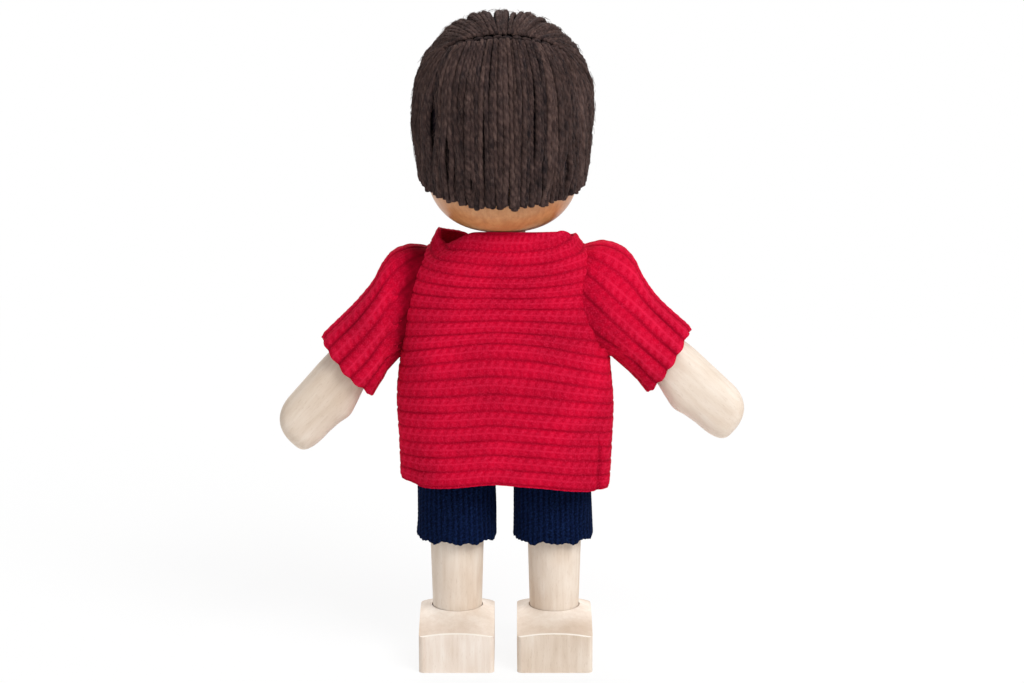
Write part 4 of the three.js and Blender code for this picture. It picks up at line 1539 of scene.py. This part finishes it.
@dataclass
class Sweater:
    """A loose sweater of horizontal ribs, with sleeves whose ribs run down the arm."""

    arms: Arms
    wide: Curve = (
        (28.1, 15.7), (35, 16.1), (41.9, 16.3), (48.6, 15.7), (56, 15.1), (60.5, 14.1), (63.2, 13.0),
        (64.5, 11.9), (65.1, 10.8), (66.2, 10.0),
    )
    deep: Curve = (
        (28.1, 8.6), (41.9, 8.5), (48.6, 8.4), (57, 8.2), (62, 7.6), (64.4, 6.9), (66.2, 6.1),
    )
    hem: float = 28.2
    collar: float = 66.2
    squareness: float = 3.2
    thickness: float = 0.7
    back_left: Curve = (
        (34, -3.0), (41, -2.0), (46, -0.6), (48, 0.6), (50, 2.0), (53, 3.4), (57, 3.9),
        (61, 3.2), (62.5, 1.9), (63.6, 0.6), (64.3, 0.0), (65, 0.0),
    )
    front_left: Curve = (
        (34, -3.0), (41, -2.1), (46, -0.8), (47.4, -0.3), (48.6, -0.8), (50.2, -3.0), (53, -5.6), (57, -6.6),
        (61, -5.0), (62.5, -2.8), (63.6, -0.9), (64.3, 0.0), (65, 0.0),
    )
    back_right: Curve = (
        (34, -6.3), (47.5, -6.2), (50.8, -5.5), (53.3, -6.4), (55.9, -7.5),
        (59, -7.4), (61.5, -5.6), (63.2, -2.6), (64.3, 0.0), (65, 0.0),
    )
    front_right: Curve = (
        (34, -6.3), (50.4, -6.1), (51.5, -3.0), (52.5, 1.0), (54.3, 5.0), (57, 6.6),
        (61, 5.0), (62.5, 2.8), (63.6, 0.9), (64.3, 0.0), (65, 0.0),
    )
    back_sag: Curve = (
        (28, 1.2), (36, 0.9), (41, 1.0), (45, 1.7), (48.5, 2.2), (52, 1.4), (56, 0.6), (59, -0.3), (62, -1.2),
        (64.5, -1.2), (66.2, 0.0),
    )
    front_rise: float = 2.2
    collar_back: float = 1.62
    collar_out: float = 0.4
    collar_front: float = 1.6
    left_ear: tuple[float, ...] = (8.4, 3.2, 1.3, 0.8)  # place, half width, height and flop
    right_ear: tuple[float, ...] = (9.3, 2.1, 0.35, 0.5)
    left_dip: float = 1.0
    collar_aside: float = 0.6
    rib_sag: float = 1.3
    bend_long: float = 3.2
    corner_rise: float = 0.9
    hem_fold: float = 0.3
    hem_wave: float = 0.2
    cloth_wave: float = 0.15
    arch_half: float = 15.5
    first_rib: float = 0.3
    wander: float = 0.25
    seam_deep: float = 0.3
    rim_deep: float = 0.3
    tilt: Curve = ((28, 0.9), (40, 0.9), (46, 1.1), (50, 0.9), (55, 0.3), (58, 0.0))
    widest: Pair = (16.3, 8.6)
    split: float = 0.3
    root_lean: Pair = (0.98, 0.2)
    root: Pair = (24.1, 26.4)
    sleeve_half: Pair = (6.2, 5.6)
    sleeve_square: float = 2.4
    sleeve_middle: float = 0.3
    sleeve_ribs: int = 13
    rib_start: float = 0.35
    rib_wander: float = 0.05
    valley: float = 0.22
    scallop: float = 0.1
    panel_faces: tuple[int, int] = (288, 264)
    sleeve_faces: int = 240
    head_rows: int = 40
    tube_rows: int = 112

    sleeves: ClassVar[dict[Side, SleeveCut]] = {
        Side.LEFT: SleeveCut(
            out=(1.3, 5.4, 6.55, 6.65, 5.95, 5.8, 6.4), down=(-6.8, -4.2, -2.2, 0.3, 3.3, 7.0, 16.2),
            under_out=(-5.5, -4.2, -4.6, -4.9, -5.0, -5.1, -5.5),
            under_down=(7.0, 10.3, 12.5, 13.6, 14.3, 15.0, 16.8),
            deep=(4.5, 4.7, 4.9, 5.3, 5.5, 5.5, 4.9),
            near_short=1.0, far_long=0.4, notch=1.0, crease=(0.9, 0.14, 0.13),
        ),
        Side.RIGHT: SleeveCut(
            out=(1.3, 6.4, 7.6, 7.7, 6.7, 5.9, 5.9), down=(-6.8, -3.9, -1.6, 0.9, 3.7, 7.2, 15.1),
            under_out=(-6.2, -5.0, -5.3, -5.4, -5.4, -5.5, -5.8),
            under_down=(7.4, 10.5, 12.6, 13.6, 14.3, 15.0, 17.0),
            deep=(6.6, 6.5, 6.3, 6.0, 5.8, 5.6, 4.9),
            near_short=0.5, far_long=0.3, notch=0.0, crease=(0.45, 0.04, 0.08),
        ),
    }

    def __post_init__(self) -> None:
        """Measures the section that the stitches are counted along."""
        self.section = Section(*self.widest, self.squareness)
        heights = np.linspace(self.hem, self.collar, 400)
        step = np.sqrt(np.diff(heights) ** 2 + 0.5 * np.diff(spline(self.wide, heights)) ** 2)
        self.heights, self.climb = heights, np.concatenate([[0], np.cumsum(step)])

    def trunk(self, behind: bool, u: Array, v: Array) -> tuple[Array, Array, Array, Array]:
        """The smooth body of the sweater.

        Args:
            behind: True for the back.
            u: Shares across the panel.
            v: Shares up it.

        Returns:
            Points, lengths walked round, lengths climbed and distances from the panel's sides.
        """
        climbed, share = v * self.climb[-1], np.clip(v, 0, 1)
        low, high = (1 - share) ** 4, share ** 12
        z = np.interp(climbed, self.climb, self.heights)
        half = self.section.round / 2
        left, right = (self.back_left, self.back_right) if behind else (self.front_left, self.front_right)
        left, right = spline(left, z), half + spline(right, z)
        start, end = (left, right) if behind else (right, left + 2 * half)
        walked = mixed(start, end, u)
        angle = self.section.angle(walked)
        c, s = self.section.at(angle)
        back, front = np.maximum(np.sin(angle), 0), np.maximum(-np.sin(angle), 0)
        fold = self.hem_fold * (1 - share) ** 2 * np.sin(7 * angle + 0.6)
        fold = fold + self.cloth_wave * ripple(walked / 6, z / 7, 2.0)
        x = (spline(self.wide, z) + fold) * c
        y = (spline(self.deep, z) + fold) * s + self.collar_out * high * smooth(0.5, 0.95, np.sin(angle))
        arch = np.clip(1 - (np.abs(x) / self.arch_half) ** 2.2, 0, 1) * smooth(0, 0.6, back)
        ears = (np.array(ear)[:, None, None] for ear in (self.left_ear, self.right_ear))
        out, wide, tall, flop = np.where(x > 0, *ears)
        near = np.where(x > 0, smooth(0.5, 0.12, back), smooth(0.97, 0.8, back))
        ear = tall * near * np.sqrt(np.clip(1 - np.abs((np.abs(x) - out) / wide) ** 3, 0, 1))
        x = x + high * (np.sign(x) * ear * flop - self.collar_aside)
        collar = self.collar_back * smooth(0.2, 0.9, back)
        lift = spline(self.back_sag, z) * arch - spline(self.tilt, z) * smooth(-2, 16, -x)
        lift = lift + low * self.front_rise * front
        lift = lift + (1 - share) ** 14 * self.corner_rise * smooth(0.8, 1.0, np.abs(c))
        lift = lift + high * (collar - self.collar_front * front + ear)
        dip = smooth(3, 6, x) * smooth(0.05, 0.3, back) * smooth(0.98, 0.7, back)
        lift = lift - high * self.left_dip * dip
        lift = lift + self.hem_wave * (1 - v) * ripple(walked / 4.5, z * 0, 4.0)
        sag = self.rib_sag * share ** 6 * np.clip(1 - (x / 11) ** 2, 0, 1) * smooth(0.1, 0.6, back)
        edge = np.minimum(u, 1 - u) * (end - start)
        return np.stack([x, y, z + lift], axis=-1), walked, climbed + high * collar + sag, edge

    def panel(self, behind: bool) -> Bend:
        """The bending of the back or the front of the sweater.

        Args:
            behind: True for the back.

        Returns:
            What bends each face.
        """
        def place(face: Wall, u: Array, v: Array) -> tuple[Array, Array]:
            """Bends a face of the panel and raises its ribs, less so at the seams and the rims.

            Args:
                face: Which face.
                u: Shares across.
                v: Shares along.

            Returns:
                Points in millimetres, and marks from 0 to 1.
            """
            points, walked, climbed, edge = self.trunk(behind, u, v)
            normal = outwards(lambda a, b: self.trunk(behind, a, b)[0], u, v)
            along = walked + self.wander * ripple(walked / 9, climbed / 3, 1.0)
            high, mark = RED_KNIT.relief(climbed - self.first_rib, along)
            soft = 0.4 + 0.7 * behind * smooth(0.5, 0.6, u) * smooth(0.52, 0.6, v) * smooth(0.93, 0.88, v)
            seam = np.exp(-(edge / soft) ** 2) * (1 - 0.8 * smooth(0.9, 0.97, v))
            up = np.clip(v, 0, 1) * self.climb[-1]
            rim = 0.4 * np.exp(-(up / 0.3) ** 2) + np.exp(-((self.climb[-1] - up) / 0.35) ** 2)
            height = (high - RED_KNIT.thick / 2) * (1 - 0.7 * seam)
            height = height - self.seam_deep * seam - self.rim_deep * rim
            return face.raised(points, normal, height, self.thickness), mark * (1 - 0.5 * seam)

        return place

    def sleeve(self, side: Side, start: float, end: float) -> Bend:
        """The bending of a stretch of sleeve.

        Args:
            side: Which sleeve.
            start: Where it starts, from 0 at the root to 1 at the cuff.
            end: Where it ends.

        Returns:
            What bends each face.
        """
        section, cut = Section(*self.sleeve_half, self.sleeve_square), self.sleeves[side]

        def turn(out: Array, s: Array) -> Array:
            """The angle that the ribs are counted along, from the arm's line."""
            return np.arctan2(s, (out - self.sleeve_middle) / self.sleeve_half[1])

        def local(u: Array, t: Array) -> tuple[Array, Array, Array, Array]:
            """The smooth sleeve, in the arm's own measures.

            Args:
                u: Shares across.
                t: Shares from the root to the cuff.

            Returns:
                Away from the arm's line, along Y, down the arm, and the sine of the section.
            """
            c, s = section.at(section.angle(u * section.round))
            outer = (1 + c) / 2
            deep = np.where(s < 0, cut.at("front_deep", t), cut.at("deep", t))
            deep = deep + 0.25 * ripple(u * 6, t * 3, side.value * 1.3) * smooth(0.15, 0.5, t)
            out = mixed(cut.at("under_out", t), cut.at("out", t), outer)
            near = np.clip(s, 0, 1) ** 0.8 * np.clip(c + 0.2, 0, 1)
            far = np.clip(-s, 0, 1) * np.clip(c + 0.4, 0, 1)
            shorter = cut.near_short * near - cut.far_long * far + cut.notch * np.exp(-((1 - c) / 0.15) ** 2)
            shorter = shorter + 0.2 * ripple(u * 9, 0 * t, 1.0 + side.value)
            ribs = self.sleeve_ribs * turn(out, s) + 2 * np.pi * self.rib_start
            shorter = shorter * smooth(0.6, 1.0, t) + self.scallop * np.cos(ribs) * smooth(0.9, 1.0, t)
            return out, deep * s, mixed(cut.at("under_down", t), cut.at("down", t), outer) - shorter, s

        def base(u: Array, t: Array) -> Array:
            """The smooth sleeve's points."""
            return self.arms.placed(side, *local(u, t)[:3])

        def place(face: Wall, u: Array, v: Array) -> tuple[Array, Array]:
            """Bends a face of the sleeve and raises its ribs, with painted shade in the crease at its root
            and in the valleys between its ribs.

            Args:
                face: Which face.
                u: Shares across.
                v: Shares along.

            Returns:
                Points in millimetres, and marks from 0 to 1.
            """
            t = mixed(end, start, v)
            out, deep, down, s = local(u, t)
            share = turn(out, s) / (2 * np.pi)
            wander = self.rib_wander * ripple(share * 9, down / 4, 3.0 + side.value)
            rib = share * self.sleeve_ribs + self.rib_start + wander
            high, mark = RED_KNIT.relief(rib * RED_KNIT.rib, down)
            full = smooth(0.26, 0.5, t)
            valley = (0.5 + 0.5 * np.cos(2 * np.pi * rib)) ** 1.5 * full
            # Painted shade in the valleys between the ribs, past the sleeve's root, where the knit is also a
            # little lighter overall.
            mark = np.clip(mark + 0.07 * full - 0.15 * valley, 0, 1)
            rim = np.exp(-((1 - t) * 20 / 0.35) ** 2)
            height = high - self.valley * valley - RED_KNIT.thick / 2 - 0.2 * rim
            # Painted shade in the crease at the root, strongest on the back.
            strength, inner, wide = cut.crease
            dark = strength * mixed(0.3, 1.0, smooth(-0.4, 0.2, s))
            mark = mark * (1 - dark * np.exp(-(np.clip(t - inner, 0, 1) / wide) ** 2))
            normal = outwards(lambda a, b: base(a, -b), u, -t) * side.value
            return face.raised(self.arms.placed(side, out, deep, down), normal, height, self.thickness), mark

        return place

    def bend(self, side: Side) -> Array:
        """Two points, 0.05 and bend_long millimetres beyond the ring where a sleeve is split.

        Args:
            side: Which sleeve.

        Returns:
            Two points, on a line square to the ring where the sleeve is split.
        """
        cut = self.sleeves[side]
        pairs = (("out", "down"), ("under_out", "under_down"))
        top, under = (np.array([cut.at(name, self.split) for name in pair]) for pair in pairs)
        square = unit(np.array([under[1] - top[1], top[0] - under[0]]))
        ends = square * (np.dot(square, top) + np.array([[0.05], [self.bend_long]]))
        return self.arms.placed(side, ends[:, 0], np.zeros(2), ends[:, 1])

    def build(self) -> None:
        """Makes the two panels and the sleeves."""
        material = RED_KNIT.build()
        for behind, word in ((True, "back"), (False, "front")):
            mesh = knitted(*self.panel_faces, self.panel(behind), False)
            piece = dressed(f"sweater_{word}", mesh, material)
            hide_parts("sweater_body")
            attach(piece, "torso")
        for side in Side:
            out, up = self.root_lean
            slab, middle = Vector((out * side.value, 0, up)) * MM, Vector((CENTRE_X * MM, 0, 0))
            bend = [Vector(point * MM) + middle for point in self.bend(side)]
            stretches = (("head", 0.0, self.split, self.head_rows), ("tube", self.split, 1.0, self.tube_rows))
            for word, start, end, rows in stretches:
                mesh = knitted(self.sleeve_faces, rows, self.sleeve(side, start, end), True)
                if side is Side.RIGHT:
                    bmesh.ops.reverse_faces(mesh, faces=mesh.faces[:])
                piece = dressed(f"{side.word}_sleeve_{word}", mesh, material)
                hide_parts(f"{side.word}_sleeve")
                if word == "head":
                    f"{side.word}_shoulder"
                    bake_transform(piece)
                else:
                    f"{side.word}_shoulder"
                    f"{side.word}_arm"
                    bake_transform(piece)


@dataclass
class Shorts:
    """Ribbed shorts: two legs with raw hems and the band round the trunk."""

    spread: float = 7.5
    half_wide: float = 5.93
    half_deep: float = 5.3
    right_in: float = 0.3
    top: float = 30.1
    hem: float = 19.3
    thickness: float = 0.5
    waist_low: float = 30.7
    waist_high: float = 39.7
    trunk_half_wide: float = 8.0
    trunk_half_deep: float = 3.0
    waist_round: float = 2.35
    waist_length: float = 48.0
    ragged: float = 0.4
    scallop: float = 0.05
    flare: float = 0.2
    cloth_wave: float = 0.15
    wander: float = 0.12
    squareness: float = 2.2
    bend: Pair = (31.0, 21.0)
    band_faces: tuple[int, int] = (384, 40)
    leg_faces: tuple[int, int] = (352, 88)

    def leg(self, side: Side) -> Bend:
        """The bending of one leg.

        Args:
            side: Which leg.

        Returns:
            What bends each face.
        """
        section = Section(self.half_wide, self.half_deep, self.squareness)
        ribs = round(section.round / NAVY_KNIT.rib)

        def base(u: Array, v: Array) -> Array:
            """The smooth leg's points, ragged at the hem.

            Args:
                u: Shares across.
                v: Shares along.

            Returns:
                Points in millimetres.
            """
            walked = u * section.round
            c, s = section.at(section.angle(walked))
            low = np.clip(1 - v, 0, 1)
            ragged = self.ragged * ripple(walked / 1.1, 0 * v, side.value * 1.7)
            ragged = ragged + self.scallop * np.cos(2 * np.pi * u * ribs)
            z = mixed(self.hem, self.top, v) + ragged * low ** 3
            flare = self.flare * low ** 4 + self.cloth_wave * ripple(walked / 4, z / 5, side.value * 2.3)
            x = side.value * self.spread + self.right_in * (side is Side.RIGHT) + (self.half_wide + flare) * c
            return np.stack([x, (self.half_deep + flare) * s, z], axis=-1)

        def place(face: Wall, u: Array, v: Array) -> tuple[Array, Array]:
            """Bends a face of the leg and raises its ribs.

            Args:
                face: Which face.
                u: Shares across.
                v: Shares along.

            Returns:
                Points in millimetres, and marks from 0 to 1.
            """
            points = base(u, v)
            wander = self.wander * ripple(u * 14, points[..., 2] / 3, side.value * 0.7)
            high, mark = NAVY_KNIT.relief(u * ribs * NAVY_KNIT.rib + wander, points[..., 2])
            rim = np.exp(-(v * (self.top - self.hem) / 0.3) ** 2)
            height = high - 0.6 * NAVY_KNIT.thick - 0.15 * rim
            return face.raised(points, outwards(base, u, v), height, self.thickness), mark

        return place

    def waist(self, face: Wall, u: Array, v: Array) -> tuple[Array, Array]:
        """Bends a face of the band round the trunk.

        Args:
            face: Which face.
            u: Shares round.
            v: Shares up.

        Returns:
            Points and marks.
        """
        angle = 2 * np.pi * u
        c, s = np.cos(angle), np.sin(angle)
        high, mark = NAVY_KNIT.relief(u * self.waist_length, v * (self.waist_high - self.waist_low))
        r = self.waist_round + (0.3 + 0.6 * high if face is Wall.OUTER else np.zeros(u.shape))
        x = self.trunk_half_wide * np.clip(c * 8, -1, 1) + r * c
        y = self.trunk_half_deep * np.clip(s * 8, -1, 1) + r * s
        return np.stack([x, y, mixed(self.waist_low, self.waist_high, v)], axis=-1), mark

    def build(self) -> None:
        """Makes the legs and the band."""
        material = NAVY_KNIT.build()
        band = dressed("shorts_band", knitted(*self.band_faces, self.waist, True), material)
        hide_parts("shorts_waist")
        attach(band, "torso")
        for side in Side:
            mesh = knitted(*self.leg_faces, self.leg(side), True)
            piece = dressed(f"{side.word}_shorts_tube", mesh, material)
            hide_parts(f"{side.word}_shorts_leg")
            f"{side.word}_leg"
            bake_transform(piece)


# The studio


@dataclass
class Studio:
    """A white floor, soft light and the photograph's viewpoint."""

    distance: float = 400.0
    height: float = 140.0
    aside: float = -0.02
    pitch: float = 12.71
    lens: float = 94.92
    floor_half: float = 3.0
    shadow_near: float = 0.05
    shadow_far: float = 0.3
    shadow_white: float = 0.87
    room_light: float = 0.38
    lamps: tuple[tuple[str, tuple[float, float, float], float, float], ...] = (
        ("key", (-0.42, 0.5, 0.7), 0.45, 6.6), ("fill", (0.6, 0.45, 0.35), 0.6, 0.4),
        ("front", (0.1, -0.7, 0.5), 0.6, 4.0),
    )

    def camera(self) -> None:
        """Sets the camera behind the doll, a little above it."""
        data = bpy.data.cameras.new("viewpoint")
        data.lens, data.sensor_width = self.lens, 36.0
        data.clip_start, data.clip_end = 0.01, 20.0
        camera = bpy.data.objects.new("viewpoint", data)
        camera.location = (self.aside * MM, self.distance * MM, self.height * MM)
        camera.rotation_euler = (math.radians(90 - self.pitch), 0, math.pi)
        bpy.context.scene.collection.objects.link(camera)
        bpy.context.scene.camera = camera

    def seen_white(self, tree: Tree) -> Socket:
        """1 for the rays that look at the background, 0 for those that light the doll.

        Args:
            tree: The node tree.

        Returns:
            The socket of that number.
        """
        rays = add_node(tree, "ShaderNodeLightPath", {}).outputs
        seen = rays["Is Camera Ray"]
        for name in ("Is Glossy Ray", "Is Transmission Ray"):
            either = add_node(tree, "ShaderNodeMath", {"operation": "MAXIMUM"}, _0=seen, _1=rays[name])
            seen = either.outputs[0]
        return seen

    def floor(self) -> None:
        """Lays the floor, white where it is seen, with the doll's soft shadow."""
        bm = bmesh.new()
        bmesh.ops.create_grid(bm, x_segments=1, y_segments=1, size=self.floor_half)
        floor = made_object("studio_floor", bm)
        material, tree = new_material("white studio paper")
        shader = tree.nodes[SHADER]
        shader.inputs["Base Color"].default_value = linear("#f4f4f4")
        shader.inputs["Roughness"].default_value = 0.9
        shader.inputs["Specular IOR Level"].default_value = 0.0
        white = add_node(tree, "ShaderNodeEmission", {}, Color=linear(WHITE), Strength=1.0)
        spot = add_node(tree, "ShaderNodeTexCoord", {}).outputs["Object"]
        apart = add_node(tree, "ShaderNodeVectorMath", {"operation": "LENGTH"}, _0=spot).outputs["Value"]
        pure = add_node(
            tree, "ShaderNodeMapRange", {"interpolation_type": "SMOOTHSTEP"}, Value=apart,
            From_Min=self.shadow_near, From_Max=self.shadow_far, To_Min=self.shadow_white, To_Max=1.0,
        )
        seen = self.seen_white(tree)
        share = add_node(tree, "ShaderNodeMath", {"operation": "MULTIPLY"}, _0=seen, _1=pure.outputs[0])
        share, paper, white = (node.outputs[0] for node in (share, shader, white))
        mix = add_node(tree, "ShaderNodeMixShader", {}, _0=share, _1=paper, _2=white)
        tree.links.new(mix.outputs[0], tree.nodes["Material Output"].inputs["Surface"])
        floor.data.materials.append(material)

    def lamp(self, name: str, place: tuple[float, float, float], size: float, watts: float) -> None:
        """Hangs a square soft light that faces the doll.

        Args:
            name: Its name.
            place: Where it hangs, in metres.
            size: The length of its side.
            watts: Its power.
        """
        data = bpy.data.lights.new(name, "AREA")
        data.size, data.energy = size, watts
        lamp = bpy.data.objects.new(name, data)
        lamp.location = place
        lamp.rotation_euler = (Vector((0, 0, 0.05)) - Vector(place)).to_track_quat("-Z", "Y").to_euler()
        bpy.context.scene.collection.objects.link(lamp)

    def build(self) -> None:
        """Makes the camera, the floor and the lights."""
        scene = bpy.context.scene
        scene.view_settings.view_transform = "Standard"
        self.camera()
        self.floor()
        world = bpy.data.worlds.new("studio")
        world.use_nodes = True
        scene.world = world
        tree = world.node_tree
        room, white = (
            add_node(tree, "ShaderNodeBackground", {}, Color=linear(WHITE), Strength=strength).outputs[0]
            for strength in (self.room_light, 1.0)
        )
        mix = add_node(tree, "ShaderNodeMixShader", {}, _0=self.seen_white(tree), _1=room, _2=white)
        tree.links.new(mix.outputs[0], tree.nodes["World Output"].inputs["Surface"])
        for lamp in self.lamps:
            self.lamp(*lamp)


def main() -> None:
    """Builds the doll piece by piece."""
    logging.basicConfig(level=logging.INFO, format="%(message)s")
    Studio().build()
    head, arms = Head(), Arms()
    for assembly in (Trunk(), Legs(), arms, head, Wig(head), Sweater(arms), Shorts()):
        assembly.build()
    bpy.context.view_layer.update()


if __name__ == "__main__":
    main()
